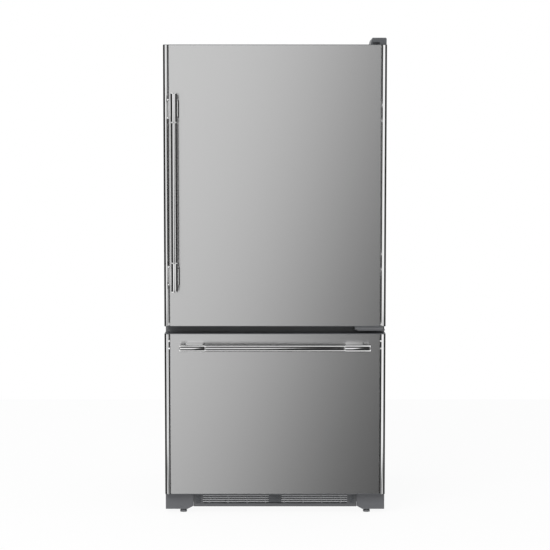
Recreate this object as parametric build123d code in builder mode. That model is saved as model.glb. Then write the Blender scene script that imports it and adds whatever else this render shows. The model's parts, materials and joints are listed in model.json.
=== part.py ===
from build123d import *
import os

# Bottom freezer refrigerator, in millimetres. The front faces -Y, +X is to the right as seen
# from the front, +Z is up, and the origin is under the middle of the object, on the floor.

# Overall sizes
WIDTH = 826
CABINET_DEPTH = 701
CABINET_TOP = 1752
DOOR_THICKNESS = 63
GASKET_THICKNESS = 14
HANDLE_REACH = 58
DEPTH = CABINET_DEPTH + GASKET_THICKNESS + DOOR_THICKNESS + HANDLE_REACH

# Fronts, from the floor up
DRAWER_FRONT_BOTTOM = 75.5
DRAWER_FRONT_HEIGHT = 608.5
FRONT_GAP = 27
DOOR_OVER_CABINET = 3

# Cabinet walls
SHEET = 1
LINER = 2
SIDE_WALL = 48
CEILING_WALL = 38
BACK_WALL = 58
MULLION_HEIGHT = 95
FREEZER_FLOOR = 118
SIDE_PANEL_BOTTOM = 30
BASE_PLATE_TOP = 72
MACHINE_ROOM_DEPTH = 268
MACHINE_ROOM_TOP = 300
STEP_WALL = 40

# Clearances between pieces
SEAT = 0.3
RUNNING_FIT = 0.05
SLIDE_PLAY = 0.5

# Planes that the other sizes lead to
HALF = WIDTH / 2
Y_BACK = DEPTH / 2
Y_CABINET = Y_BACK - CABINET_DEPTH
Y_DOOR_BACK = Y_CABINET - GASKET_THICKNESS
Y_SKIN = Y_DOOR_BACK - DOOR_THICKNESS
Y_HANDLE = Y_SKIN - HANDLE_REACH
DRAWER_FRONT_TOP = DRAWER_FRONT_BOTTOM + DRAWER_FRONT_HEIGHT
DOOR_BOTTOM = DRAWER_FRONT_TOP + FRONT_GAP
FRIDGE_DOOR_HEIGHT = CABINET_TOP + DOOR_OVER_CABINET - DOOR_BOTTOM
DOOR_TOP = DOOR_BOTTOM + FRIDGE_DOOR_HEIGHT
MULLION_MIDDLE = (DRAWER_FRONT_TOP + DOOR_BOTTOM) / 2
MULLION_BOTTOM = MULLION_MIDDLE - MULLION_HEIGHT / 2
MULLION_TOP = MULLION_MIDDLE + MULLION_HEIGHT / 2
ROOM_HALF = HALF - SIDE_WALL
ROOM_BACK = Y_BACK - BACK_WALL
CEILING = CABINET_TOP - CEILING_WALL
MACHINE_FRONT = Y_BACK - MACHINE_ROOM_DEPTH
STEP_FRONT = MACHINE_FRONT - STEP_WALL
STEP_TOP = MACHINE_ROOM_TOP + STEP_WALL

# Hinges of the fridge door
HINGE_INSET = 21
HINGE_FORWARD = 30
HINGE_PIN_RADIUS = 6
HINGE_PIN_DEPTH = 14
HINGE_LEAF = 4
HINGE_WIDTH = 117
X_HINGE = HALF - HINGE_INSET
Y_HINGE = Y_DOOR_BACK - HINGE_FORWARD

os.makedirs("parts", exist_ok=True)


def save(name, piece):
    """Label a finished piece and write it as its own STEP file."""
    piece.label = name
    export_step(piece, f"parts/{name}.step")


def block(x0, x1, y0, y1, z0, z1, mode=Mode.ADD):
    """A block between two opposite corners, in the part that is being built."""
    with Locations(((x0 + x1) / 2, (y0 + y1) / 2, (z0 + z1) / 2)):
        Box(x1 - x0, y1 - y0, z1 - z0, mode=mode)


def tub(x0, x1, y0, y1, z0, z1, wall, radius):
    """An open-topped tub with rounded upright corners, in the part that is being built."""
    for inset, floor, mode in ((0, z0, Mode.ADD), (wall, z0 + wall, Mode.SUBTRACT)):
        with BuildSketch(Plane.XY.offset(floor)) as plan:
            with Locations(((x0 + x1) / 2, (y0 + y1) / 2)):
                RectangleRounded(x1 - x0 - 2 * inset, y1 - y0 - 2 * inset, radius - inset)
        extrude(plan.sketch, amount=z1 - floor, mode=mode)


def ring(x, z0, z1, width, y0, y1):
    """A rectangular frame in the part that is being built, from its inner edge outwards."""
    block(-x - width, x + width, y0, y1, z0 - width, z1 + width)
    block(-x, x, y0, y1, z0, z1, mode=Mode.SUBTRACT)


# ---------------------------------------------------------------- cabinet walls

with BuildPart() as cabinet_wrapper:
    # Two side panels, each with the flange that the gaskets close on
    for side in (-1, 1):
        outer = side * HALF
        x0, x1 = sorted((outer, outer - side * SHEET))
        block(x0, x1, Y_CABINET, Y_BACK, SIDE_PANEL_BOTTOM, CABINET_TOP - SHEET)
        x0, x1 = sorted((outer, side * ROOM_HALF))
        block(x0, x1, Y_CABINET, Y_CABINET + SHEET, BASE_PLATE_TOP, CABINET_TOP - SHEET)
    # The top panel with its flange between the side flanges
    block(-HALF, HALF, Y_CABINET, Y_BACK, CABINET_TOP - SHEET, CABINET_TOP)
    block(-ROOM_HALF, ROOM_HALF, Y_CABINET, Y_CABINET + SHEET, CEILING, CABINET_TOP - SHEET)
save("cabinet_wrapper", cabinet_wrapper.part)

with BuildPart() as mullion_rail:
    block(-ROOM_HALF, ROOM_HALF, Y_CABINET, Y_CABINET + SHEET, MULLION_BOTTOM, MULLION_TOP)
    block(-ROOM_HALF, ROOM_HALF, Y_CABINET, Y_CABINET + SHEET, BASE_PLATE_TOP, FREEZER_FLOOR)
save("mullion_rail", mullion_rail.part)

BACK_PANEL_BEAD = 6
BEAD_HALF_WIDTH = 12
BEAD_MARGIN = 120
with BuildPart() as back_panel:
    block(-HALF + SHEET, HALF - SHEET, Y_BACK - SHEET, Y_BACK, MACHINE_ROOM_TOP, CABINET_TOP - SHEET)
    # Two pressed beads stiffen the sheet; they stand inwards, into the foam
    for x in (-HALF / 2, HALF / 2):
        low, high = MACHINE_ROOM_TOP + BEAD_MARGIN, CABINET_TOP - BEAD_MARGIN
        block(x - BEAD_HALF_WIDTH, x + BEAD_HALF_WIDTH, Y_BACK - BACK_PANEL_BEAD, Y_BACK - SHEET, low, high)
        block(x - BEAD_HALF_WIDTH + SHEET, x + BEAD_HALF_WIDTH - SHEET, Y_BACK - BACK_PANEL_BEAD + SHEET,
              Y_BACK, low + SHEET, high - SHEET, mode=Mode.SUBTRACT)
save("back_panel", back_panel.part)


def room_shape(floor, top, stepped):
    """The side view of a compartment, on the YZ plane, from the cabinet's front to its back wall."""
    front = Y_CABINET + SHEET
    if stepped:
        corners = [(front, floor), (STEP_FRONT, floor), (STEP_FRONT, STEP_TOP),
                   (ROOM_BACK, STEP_TOP), (ROOM_BACK, top), (front, top)]
    else:
        corners = [(front, floor), (ROOM_BACK, floor), (ROOM_BACK, top), (front, top)]
    return Polyline(*corners, close=True)


def liner(floor, top, stepped):
    """An open-fronted plastic liner around a compartment, inside its own walls' thickness."""
    with BuildPart() as shell:
        with BuildSketch(Plane.YZ) as outside:
            with BuildLine():
                room_shape(floor, top, stepped)
            make_face()
            offset(amount=LINER, kind=Kind.INTERSECTION)
        extrude(amount=ROOM_HALF + LINER, both=True)
        with BuildSketch(Plane.YZ) as inside:
            with BuildLine():
                room_shape(floor, top, stepped)
            make_face()
        extrude(amount=ROOM_HALF, both=True, mode=Mode.SUBTRACT)
        # Open the front where the wall's thickness crosses it
        block(-ROOM_HALF - LINER, ROOM_HALF + LINER, Y_CABINET + SHEET - LINER, Y_CABINET + SHEET,
              floor - LINER, top + LINER, mode=Mode.SUBTRACT)
    return shell.part


save("fridge_liner", liner(MULLION_TOP, CEILING, False))
save("freezer_liner", liner(FREEZER_FLOOR, MULLION_BOTTOM, True))

with BuildPart() as insulation_foam:
    with BuildSketch(Plane.YZ):
        with BuildLine():
            Polyline((Y_CABINET + SHEET, BASE_PLATE_TOP), (MACHINE_FRONT, BASE_PLATE_TOP),
                     (MACHINE_FRONT, MACHINE_ROOM_TOP), (Y_BACK - BACK_PANEL_BEAD, MACHINE_ROOM_TOP),
                     (Y_BACK - BACK_PANEL_BEAD, CABINET_TOP - SHEET),
                     (Y_CABINET + SHEET, CABINET_TOP - SHEET), close=True)
        make_face()
    extrude(amount=HALF - SHEET, both=True)
    for floor, top, stepped in ((MULLION_TOP, CEILING, False), (FREEZER_FLOOR, MULLION_BOTTOM, True)):
        with BuildSketch(Plane.YZ):
            with BuildLine():
                room_shape(floor, top, stepped)
            make_face()
            offset(amount=LINER, kind=Kind.INTERSECTION)
        extrude(amount=ROOM_HALF + LINER, both=True, mode=Mode.SUBTRACT)
save("insulation_foam", insulation_foam.part)


# ---------------------------------------------------------------- base, feet and rollers

BASE_PLATE = 2
TRAY_PLATE_TOP = 44
RAIL_WIDTH = 30
RAIL_WALL = 2
FRONT_RAIL = 20
ROLLER_RADIUS = 22
ROLLER_WIDTH = 18
ROLLER_FROM_BACK = 55
AXLE_RADIUS = 5
AXLE_EAR = 9
WELL_PLAY = 3
FOOT_RADIUS = 13
FOOT_PAD = 8
FOOT_STEM_RADIUS = 5
FOOT_NUT_RADIUS = 9
FOOT_NUT = 6
FOOT_INSET = 66
FOOT_SETBACK = 36
LEG_PLATE = 3
LEG_SETBACK = 26
LEG_WIDTH = 105
LEG_BOTTOM = 14
LEG_SLANT_START = 83
LEG_SHELF_RISE = 15
GRILLE_BOTTOM = 25
GRILLE_SETBACK = 30
GRILLE_THICKNESS = 10
GRILLE_WALL = 3
GRILLE_SLOT = 3.2
GRILLE_RIB = 6
GRILLE_RIB_PITCH = 70.8
GRILLE_END = 36
GRILLE_BLOCK_WIDTH = 48
GRILLE_BLOCK_BOTTOM = 38
GRILLE_BLOCK_TOP = 66
GRILLE_BLOCK_PROUD = 2
GRILLE_HOOK_WIDTH = 20
FRONT_RAIL_RISE = 10

X_RAIL = HALF - SHEET - RAIL_WIDTH
X_FOOT = HALF - FOOT_INSET
Y_FOOT = Y_SKIN + FOOT_SETBACK + FOOT_RADIUS
Y_LEG = Y_SKIN + LEG_SETBACK
Y_GRILLE = Y_SKIN + GRILLE_SETBACK
Y_ROLLER = Y_BACK - ROLLER_FROM_BACK
X_LEG = HALF - LEG_WIDTH
LEG_SLOPE_TOP = GRILLE_BOTTOM + 1
LEG_SHELF = GRILLE_BOTTOM + LEG_SHELF_RISE
GRILLE_HOOK = BASE_PLATE_TOP - 10

with BuildPart() as base_frame:
    # The floor plate under the freezer, and the lower tray that carries the compressor
    block(-HALF + SHEET, HALF - SHEET, Y_CABINET, MACHINE_FRONT,
          BASE_PLATE_TOP - BASE_PLATE, BASE_PLATE_TOP)
    block(-HALF + SHEET, HALF - SHEET, MACHINE_FRONT, Y_BACK - SHEET,
          TRAY_PLATE_TOP - BASE_PLATE, TRAY_PLATE_TOP)
    block(-HALF + SHEET, HALF - SHEET, MACHINE_FRONT, MACHINE_FRONT + BASE_PLATE,
          TRAY_PLATE_TOP - BASE_PLATE, MACHINE_ROOM_TOP)
    # A channel along each side, open downwards, and a cross rail at the front
    for side in (-1, 1):
        low, high = sorted((side * X_RAIL, side * (HALF - SHEET)))
        block(low, high, Y_CABINET, Y_BACK - SHEET, SIDE_PANEL_BOTTOM, TRAY_PLATE_TOP)
        block(low + RAIL_WALL, high - RAIL_WALL, Y_CABINET, Y_BACK - SHEET,
              SIDE_PANEL_BOTTOM, TRAY_PLATE_TOP - BASE_PLATE, mode=Mode.SUBTRACT)
        block(low, low + RAIL_WALL, Y_CABINET, MACHINE_FRONT, TRAY_PLATE_TOP, BASE_PLATE_TOP)
        block(high - RAIL_WALL, high, Y_CABINET, MACHINE_FRONT, TRAY_PLATE_TOP, BASE_PLATE_TOP)
    rail_bottom = GRILLE_BOTTOM + FRONT_RAIL_RISE
    block(-X_RAIL, X_RAIL, Y_CABINET, Y_CABINET + FRONT_RAIL, rail_bottom, BASE_PLATE_TOP)
    block(-X_RAIL, X_RAIL, Y_CABINET + BASE_PLATE, Y_CABINET + FRONT_RAIL, rail_bottom,
          BASE_PLATE_TOP - BASE_PLATE, mode=Mode.SUBTRACT)
    # Roller wells cut through the tray, with an axle pin across each
    for side in (-1, 1):
        low, high = sorted((side * (X_RAIL + RAIL_WALL), side * (HALF - SHEET - RAIL_WALL)))
        reach = ROLLER_RADIUS + WELL_PLAY
        block(low, high, Y_ROLLER - reach, Y_ROLLER + reach,
              TRAY_PLATE_TOP - BASE_PLATE, TRAY_PLATE_TOP, mode=Mode.SUBTRACT)
        with BuildSketch(Plane.YZ.offset(low)):
            with Locations((Y_ROLLER, ROLLER_RADIUS)):
                Circle(AXLE_RADIUS)
        extrude(amount=high - low)
        # Two ears hold the axle below the channel
        for x in (low - RAIL_WALL, high):
            block(x, x + RAIL_WALL, Y_ROLLER - AXLE_EAR, Y_ROLLER + AXLE_EAR,
                  ROLLER_RADIUS - AXLE_EAR + 1, SIDE_PANEL_BOTTOM)
save("base_frame", base_frame.part)


def roller(side):
    """A rear roller that turns on the axle of its side."""
    middle = side * (X_RAIL + (HALF - SHEET - X_RAIL) / 2)
    with BuildPart() as wheel:
        with BuildSketch(Plane.YZ.offset(middle - ROLLER_WIDTH / 2)):
            with Locations((Y_ROLLER, ROLLER_RADIUS)):
                Circle(ROLLER_RADIUS)
                Circle(AXLE_RADIUS + RUNNING_FIT, mode=Mode.SUBTRACT)
        extrude(amount=ROLLER_WIDTH)
        rims = wheel.edges().filter_by(GeomType.CIRCLE).group_by(SortBy.RADIUS)[-1]
        fillet(rims, radius=2)
    return wheel.part


save("rear_roller_left", roller(-1))
save("rear_roller_right", roller(1))


with BuildPart() as leg_brackets:
    for side in (-1, 1):
        with BuildSketch(Plane.XZ.offset(-Y_LEG)):
            with BuildLine():
                Polyline((side * HALF, LEG_BOTTOM), (side * (HALF - LEG_SLANT_START), LEG_BOTTOM),
                         (side * X_LEG, LEG_SLOPE_TOP), (side * X_LEG, BASE_PLATE_TOP),
                         (side * HALF, BASE_PLATE_TOP), close=True)
            make_face()
        extrude(amount=-LEG_PLATE)
        # The outer cheek and the shelf that the foot screws into, back to the cabinet's front
        low, high = sorted((side * HALF, side * (HALF - LEG_PLATE)))
        block(low, high, Y_LEG, Y_CABINET, LEG_BOTTOM, BASE_PLATE_TOP)
        low, high = sorted((side * HALF, side * X_LEG))
        block(low, high, Y_LEG, Y_CABINET, BASE_PLATE_TOP - LEG_PLATE, BASE_PLATE_TOP)
        block(low, high, Y_LEG, Y_CABINET, LEG_SHELF, LEG_SHELF + LEG_PLATE)
        block(low, high, Y_CABINET - LEG_PLATE, Y_CABINET, LEG_SHELF, BASE_PLATE_TOP)
    with Locations((X_FOOT, Y_FOOT), (-X_FOOT, Y_FOOT)):
        with Locations((0, 0, LEG_SHELF + LEG_PLATE / 2)):
            Cylinder(FOOT_STEM_RADIUS + RUNNING_FIT, LEG_PLATE, mode=Mode.SUBTRACT)
save("leg_brackets", leg_brackets.part)


def level_foot(side):
    """A levelling foot: a round pad on a stem that passes up through its bracket."""
    stem_top = BASE_PLATE_TOP - LEG_PLATE - 2
    with BuildPart() as foot:
        with BuildSketch(Plane.XY):
            with Locations((side * X_FOOT, Y_FOOT)):
                Circle(FOOT_RADIUS)
        extrude(amount=FOOT_PAD)
        fillet(foot.edges().group_by(Axis.Z)[-1], radius=2)
        with BuildSketch(Plane.XY.offset(FOOT_PAD)):
            with Locations((side * X_FOOT, Y_FOOT)):
                RegularPolygon(FOOT_NUT_RADIUS, 6)
        extrude(amount=FOOT_NUT)
        with BuildSketch(Plane.XY.offset(FOOT_PAD)):
            with Locations((side * X_FOOT, Y_FOOT)):
                Circle(FOOT_STEM_RADIUS)
        extrude(amount=stem_top - FOOT_PAD)
    return foot.part


save("level_foot_left", level_foot(-1))
save("level_foot_right", level_foot(1))

# The grille's slots lie between louvres; its ends are plain, and a plain block fills the middle
GRILLE_SLOTS = (37, 44.5, 52.3, 60)
with BuildPart() as toe_grille:
    half = X_LEG - SEAT
    block(-half, half, Y_GRILLE, Y_GRILLE + GRILLE_THICKNESS, GRILLE_BOTTOM, BASE_PLATE_TOP)
    block(-half + GRILLE_WALL, half - GRILLE_WALL, Y_GRILLE + GRILLE_WALL, Y_GRILLE + GRILLE_THICKNESS,
          GRILLE_BOTTOM + GRILLE_WALL, BASE_PLATE_TOP - GRILLE_WALL, mode=Mode.SUBTRACT)
    # Two hooks on each side reach back to the cross rail
    for x in (-half + GRILLE_END / 2, half - GRILLE_END / 2):
        block(x - GRILLE_HOOK_WIDTH / 2, x + GRILLE_HOOK_WIDTH / 2, Y_GRILLE, Y_CABINET,
              GRILLE_HOOK, GRILLE_HOOK + GRILLE_WALL)
    reach = half - GRILLE_END
    bays = int(reach // GRILLE_RIB_PITCH) + 1
    for z in GRILLE_SLOTS:
        for bay in [*range(-bays, 0), *range(1, bays + 1)]:
            x0 = max((bay - 0.5) * GRILLE_RIB_PITCH + GRILLE_RIB / 2, -reach)
            x1 = min((bay + 0.5) * GRILLE_RIB_PITCH - GRILLE_RIB / 2, reach)
            if x1 > x0:
                block(x0, x1, Y_GRILLE, Y_GRILLE + GRILLE_WALL, z - GRILLE_SLOT / 2, z + GRILLE_SLOT / 2,
                      mode=Mode.SUBTRACT)
    block(-GRILLE_BLOCK_WIDTH / 2, GRILLE_BLOCK_WIDTH / 2, Y_GRILLE - GRILLE_BLOCK_PROUD, Y_GRILLE,
          GRILLE_BLOCK_BOTTOM, GRILLE_BLOCK_TOP)
save("toe_grille", toe_grille.part)


# ---------------------------------------------------------------- machine room

COMPRESSOR_RADIUS = 78
COMPRESSOR_HEIGHT = 175
COMPRESSOR_INSET = 178
COMPRESSOR_FOOT = 12
COMPRESSOR_STRETCH = 1.2
COMPRESSOR_DOME = 30
MOUNT_PLATE = 4
RELAY_BOX = (44, 56, 60)
RELAY_RISE = 95
TUBE_RADIUS = 3
COIL_PASSES = 9
COIL_PITCH = 22
COIL_LENGTH = 190
COIL_INSET = 178
FIN_THICKNESS = 1.2
FIN_MARGIN = 20
FAN_RADIUS = 75
FAN_HUB_RADIUS = 16
FAN_HUB_DEPTH = 20
FAN_SHAFT_RADIUS = 3
FAN_BLADES = 5
SHROUD_SIZE = 176
SHROUD_DEPTH = 30
FAN_X = -40
COVER_SLOT = 5
COVER_SLOT_PITCH = 14
COVER_SLOTS = 11
COVER_SLOT_LENGTH = 170
COVER_SLOT_SPACING = 250
GLAND_RADIUS = 11
GLAND_LENGTH = 5
GLAND_INSET = 60
GLAND_RISE = 20
DRAIN_PAN_HEIGHT = 30
DRAIN_PAN_HALF_DEPTH = 90
DRAIN_PAN_LEFT = 140
DRAIN_PAN_RIGHT = 120
WALL_OF_PLASTIC = 2.5

Y_MACHINE = (MACHINE_FRONT + Y_BACK) / 2
Z_FAN = TRAY_PLATE_TOP + SHROUD_SIZE / 2 + 6
COMPRESSOR_X = HALF - COMPRESSOR_INSET
COIL_X = COIL_INSET - HALF

with BuildPart() as compressor:
    with BuildSketch(Plane.XY.offset(TRAY_PLATE_TOP + COMPRESSOR_FOOT)):
        with Locations((COMPRESSOR_X, Y_MACHINE)):
            Ellipse(COMPRESSOR_RADIUS * COMPRESSOR_STRETCH, COMPRESSOR_RADIUS)
    extrude(amount=COMPRESSOR_HEIGHT)
    fillet(compressor.edges().filter_by(GeomType.ELLIPSE), radius=COMPRESSOR_DOME)
    # A mounting plate under the shell stands on four rubber feet
    with Locations((COMPRESSOR_X, Y_MACHINE, TRAY_PLATE_TOP + COMPRESSOR_FOOT + MOUNT_PLATE / 2)):
        Box(220, 150, MOUNT_PLATE)
    with Locations((COMPRESSOR_X, Y_MACHINE, TRAY_PLATE_TOP + COMPRESSOR_FOOT / 2)):
        with GridLocations(190, 120, 2, 2):
            Cylinder(12, COMPRESSOR_FOOT)
    # The start relay's box on the side that faces the fan
    with Locations((COMPRESSOR_X - COMPRESSOR_RADIUS * COMPRESSOR_STRETCH - 12, Y_MACHINE,
                    TRAY_PLATE_TOP + COMPRESSOR_FOOT + RELAY_RISE)):
        Box(*RELAY_BOX)
save("compressor", compressor.part)


def serpentine(passes, pitch, length):
    """Points of a tube that goes to and fro in one plane, starting low on the left."""
    points = []
    for row in range(passes):
        ends = (-length / 2, length / 2) if row % 2 == 0 else (length / 2, -length / 2)
        points += [(x, row * pitch) for x in ends]
    return points


def coil(passes, pitch, length, x, y, z, fin_depth, fins):
    """A serpentine tube through upright fins, one solid."""
    with BuildPart() as body:
        with BuildLine():
            path = FilletPolyline(*[(x + along, y, z + up)
                                    for along, up in serpentine(passes, pitch, length)],
                                  radius=pitch * 0.49)
        with BuildSketch(Plane(origin=path @ 0, z_dir=path % 0)):
            Circle(TUBE_RADIUS)
        sweep(path=path)
        height = (passes - 1) * pitch + 4 * TUBE_RADIUS
        for fin in range(fins):
            place = x + (fin - (fins - 1) / 2) * (length - 2 * FIN_MARGIN) / (fins - 1)
            block(place - FIN_THICKNESS / 2, place + FIN_THICKNESS / 2, y - fin_depth / 2,
                  y + fin_depth / 2, z - 2 * TUBE_RADIUS, z - 2 * TUBE_RADIUS + height)
    return body.part


COIL_BOTTOM = TRAY_PLATE_TOP + DRAIN_PAN_HEIGHT + 2 * TUBE_RADIUS
save("condenser_coil", coil(COIL_PASSES, COIL_PITCH, COIL_LENGTH, COIL_X, Y_MACHINE, COIL_BOTTOM, 40, 12))

with BuildPart() as drain_pan:
    pan_top = TRAY_PLATE_TOP + DRAIN_PAN_HEIGHT
    for inset, floor, mode in ((0, TRAY_PLATE_TOP, Mode.ADD),
                               (WALL_OF_PLASTIC, TRAY_PLATE_TOP + WALL_OF_PLASTIC, Mode.SUBTRACT)):
        block(COIL_X - DRAIN_PAN_LEFT + inset, COIL_X + DRAIN_PAN_RIGHT - inset,
              Y_MACHINE - DRAIN_PAN_HALF_DEPTH + inset, Y_MACHINE + DRAIN_PAN_HALF_DEPTH - inset,
              floor, pan_top, mode=mode)
    # Two bars across the pan carry the coil
    for x in (COIL_X - DRAIN_PAN_LEFT / 2, COIL_X + DRAIN_PAN_LEFT / 2):
        block(x - 4, x + 4, Y_MACHINE - DRAIN_PAN_HALF_DEPTH, Y_MACHINE + DRAIN_PAN_HALF_DEPTH,
              pan_top - 2 * TUBE_RADIUS, pan_top)
save("drain_pan", drain_pan.part)


BLADE_THICKNESS = 3
MOTOR_RADIUS = 24
MOTOR_LENGTH = 32
MOTOR_BAR = 8


def fan(plane, radius):
    """A bladed wheel around its hub, on the plane's normal, bored for a motor shaft."""
    with BuildPart() as wheel:
        with BuildSketch(plane):
            Circle(FAN_HUB_RADIUS)
        extrude(amount=FAN_HUB_DEPTH)
        with BuildSketch(plane.offset(FAN_HUB_DEPTH / 2)):
            with PolarLocations(0, FAN_BLADES):
                Polygon((FAN_HUB_RADIUS - 3, -8), (radius * 0.95, -radius * 0.30),
                        (radius, radius * 0.12), (FAN_HUB_RADIUS - 3, 9), align=None)
        extrude(amount=BLADE_THICKNESS)
        with BuildSketch(plane):
            Circle(FAN_SHAFT_RADIUS + RUNNING_FIT)
        extrude(amount=FAN_HUB_DEPTH, mode=Mode.SUBTRACT)
    return wheel.part


# The condenser fan blows along X, through a square shroud that stands on the tray
FAN_PLANE = Plane(origin=(FAN_X, Y_MACHINE, Z_FAN), x_dir=(0, 1, 0), z_dir=(1, 0, 0))
save("condenser_fan", fan(FAN_PLANE, FAN_RADIUS))

with BuildPart() as fan_shroud:
    with Locations((FAN_X + FAN_HUB_DEPTH / 2, Y_MACHINE, Z_FAN)):
        Box(SHROUD_DEPTH, SHROUD_SIZE, SHROUD_SIZE)
    with BuildSketch(FAN_PLANE.offset(-SHROUD_DEPTH)):
        Circle(FAN_RADIUS + 4)
    extrude(amount=2 * SHROUD_DEPTH, mode=Mode.SUBTRACT)
    # The motor behind the hub, held by a cross bar, with its shaft through the hub
    with BuildSketch(FAN_PLANE.offset(-SEAT)):
        Circle(MOTOR_RADIUS)
    extrude(amount=-MOTOR_LENGTH)
    with BuildSketch(FAN_PLANE.offset(-SEAT)):
        Circle(FAN_SHAFT_RADIUS)
    extrude(amount=FAN_HUB_DEPTH + 2)
    bar_start = FAN_X - MOTOR_LENGTH + 4
    block(bar_start, bar_start + 6, Y_MACHINE - SHROUD_SIZE / 2, Y_MACHINE + SHROUD_SIZE / 2,
          Z_FAN - MOTOR_BAR, Z_FAN + MOTOR_BAR)
    for y in (Y_MACHINE - SHROUD_SIZE / 2, Y_MACHINE + SHROUD_SIZE / 2 - 4):
        block(bar_start, FAN_X + FAN_HUB_DEPTH / 2, y, y + 4, Z_FAN - MOTOR_BAR, Z_FAN + MOTOR_BAR)
    # The stand under the shroud
    stand = Y_MACHINE - SHROUD_SIZE / 3, Y_MACHINE + SHROUD_SIZE / 3
    block(FAN_X + FAN_HUB_DEPTH / 2 - SHROUD_DEPTH / 2, FAN_X + FAN_HUB_DEPTH / 2 + SHROUD_DEPTH / 2,
          *stand, TRAY_PLATE_TOP, Z_FAN - SHROUD_SIZE / 2)
save("fan_shroud", fan_shroud.part)

with BuildPart() as machine_cover:
    block(-HALF + SHEET, HALF - SHEET, Y_BACK - SHEET, Y_BACK, TRAY_PLATE_TOP - BASE_PLATE,
          MACHINE_ROOM_TOP)
    for x in (-COVER_SLOT_SPACING, 0, COVER_SLOT_SPACING):
        for row in range(COVER_SLOTS):
            z = TRAY_PLATE_TOP + 40 + row * COVER_SLOT_PITCH
            block(x - COVER_SLOT_LENGTH / 2, x + COVER_SLOT_LENGTH / 2, Y_BACK - SHEET, Y_BACK,
                  z, z + COVER_SLOT, mode=Mode.SUBTRACT)
    # A gland in the lower corner, where the supply lead leaves
    with BuildSketch(Plane.XZ.offset(-Y_BACK)):
        with Locations((HALF - GLAND_INSET, TRAY_PLATE_TOP + GLAND_RISE)):
            Circle(GLAND_RADIUS)
    extrude(amount=GLAND_LENGTH)
save("machine_cover", machine_cover.part)

# ---------------------------------------------------------------- cold side of the freezer

EVAPORATOR_DEPTH = 62
EVAPORATOR_COVER = 3
EVAPORATOR_PASSES = 7
EVAPORATOR_PITCH = 24
EVAPORATOR_LENGTH = 600
EVAPORATOR_FAN_RADIUS = 48
FAN_BEHIND_COVER = 6
AIR_SLOT = 7
AIR_SLOT_PITCH = 16
AIR_SLOT_HALF = 60
RETURN_SLOT = 8
RETURN_SLOT_HALF = 40
POST_X = 180
POST_HALF = 10
Y_EVAPORATOR_COVER = ROOM_BACK - EVAPORATOR_DEPTH
Y_EVAPORATOR = ROOM_BACK - EVAPORATOR_DEPTH / 2 + 4
EVAPORATOR_BOTTOM = STEP_TOP + 20
Y_EVAPORATOR_FAN = Y_EVAPORATOR_COVER + EVAPORATOR_COVER + FAN_BEHIND_COVER
Z_EVAPORATOR_FAN = MULLION_BOTTOM - EVAPORATOR_FAN_RADIUS - 22

save("evaporator_coil", coil(EVAPORATOR_PASSES, EVAPORATOR_PITCH, EVAPORATOR_LENGTH, 0,
                             Y_EVAPORATOR, EVAPORATOR_BOTTOM, 44, 30))

EVAPORATOR_FAN_PLANE = Plane(origin=(0, Y_EVAPORATOR_FAN, Z_EVAPORATOR_FAN),
                             x_dir=(1, 0, 0), z_dir=(0, 1, 0))
save("evaporator_fan", fan(EVAPORATOR_FAN_PLANE, EVAPORATOR_FAN_RADIUS))

with BuildPart() as evaporator_cover:
    block(-ROOM_HALF, ROOM_HALF, Y_EVAPORATOR_COVER, Y_EVAPORATOR_COVER + EVAPORATOR_COVER,
          STEP_TOP, MULLION_BOTTOM)
    # Air leaves through slots in front of the fan and returns low down
    for row in range(-2, 3):
        z = Z_EVAPORATOR_FAN + row * AIR_SLOT_PITCH - AIR_SLOT / 2
        block(-AIR_SLOT_HALF, AIR_SLOT_HALF, Y_EVAPORATOR_COVER, Y_EVAPORATOR_COVER + EVAPORATOR_COVER,
              z, z + AIR_SLOT, mode=Mode.SUBTRACT)
    for column in range(-2, 3):
        x = column * 3 * RETURN_SLOT_HALF
        block(x - RETURN_SLOT_HALF, x + RETURN_SLOT_HALF, Y_EVAPORATOR_COVER,
              Y_EVAPORATOR_COVER + EVAPORATOR_COVER, STEP_TOP + 12, STEP_TOP + 12 + RETURN_SLOT,
              mode=Mode.SUBTRACT)
    # Posts behind the cover carry the coil's fins
    for x in (-POST_X, POST_X):
        block(x - POST_HALF, x + POST_HALF, Y_EVAPORATOR_COVER, ROOM_BACK, STEP_TOP,
              EVAPORATOR_BOTTOM - 2 * TUBE_RADIUS)
    # The fan's motor stands on the back wall, with its shaft through the hub
    with BuildSketch(EVAPORATOR_FAN_PLANE.offset(-4)):
        Circle(FAN_SHAFT_RADIUS)
    extrude(amount=ROOM_BACK - Y_EVAPORATOR_FAN + 4)
    with BuildSketch(EVAPORATOR_FAN_PLANE.offset(FAN_HUB_DEPTH + SEAT)):
        Circle(FAN_HUB_RADIUS + 4)
    extrude(amount=ROOM_BACK - Y_EVAPORATOR_FAN - FAN_HUB_DEPTH - SEAT)
save("evaporator_cover", evaporator_cover.part)


# ---------------------------------------------------------------- inside the fridge compartment

DUCT_WIDTH = 180
DUCT_DEPTH = 15
DUCT_WALL = 3
DUCT_OUTLET_HEIGHT = 8
DUCT_OUTLET_WIDTH = 50
DUCT_OUTLET_X = 45
DUCT_OVER_CRISPERS = 25
DUCT_BELOW_CEILING = 74
TRACK_X = 250
TRACK_WIDTH = 20
TRACK_DEPTH = 12
TRACK_WALL = 2
TRACK_SLOT = 8
TRACK_SLOT_PITCH = 40
TRACK_SLOT_HEIGHT = 20
SHELF_FRONT = -160
SHELF_REBATE = 6
SHELF_SIDE_GAP = 8
SHELF_ARM = 4
SHELF_ARM_DROP = 45
SHELF_TRIM = 22
SHELF_EDGE = 14
GLASS = 4
UPPER_SHELF_RISE = 200
LOWER_SHELF_RISE = 205
CONTROL_WIDTH = 360
CONTROL_FRONT = -135
CONTROL_DEPTH = 90
CONTROL_HEIGHT = 48
CONTROL_WALL = 3
LENS_DEPTH = 70
LENS_WALL = 2
LENS_RAISE = 8
KNOB_RADIUS = 16
KNOB_DEPTH = 18
KNOB_RIDGE = 6
KNOB_X = 110
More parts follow.
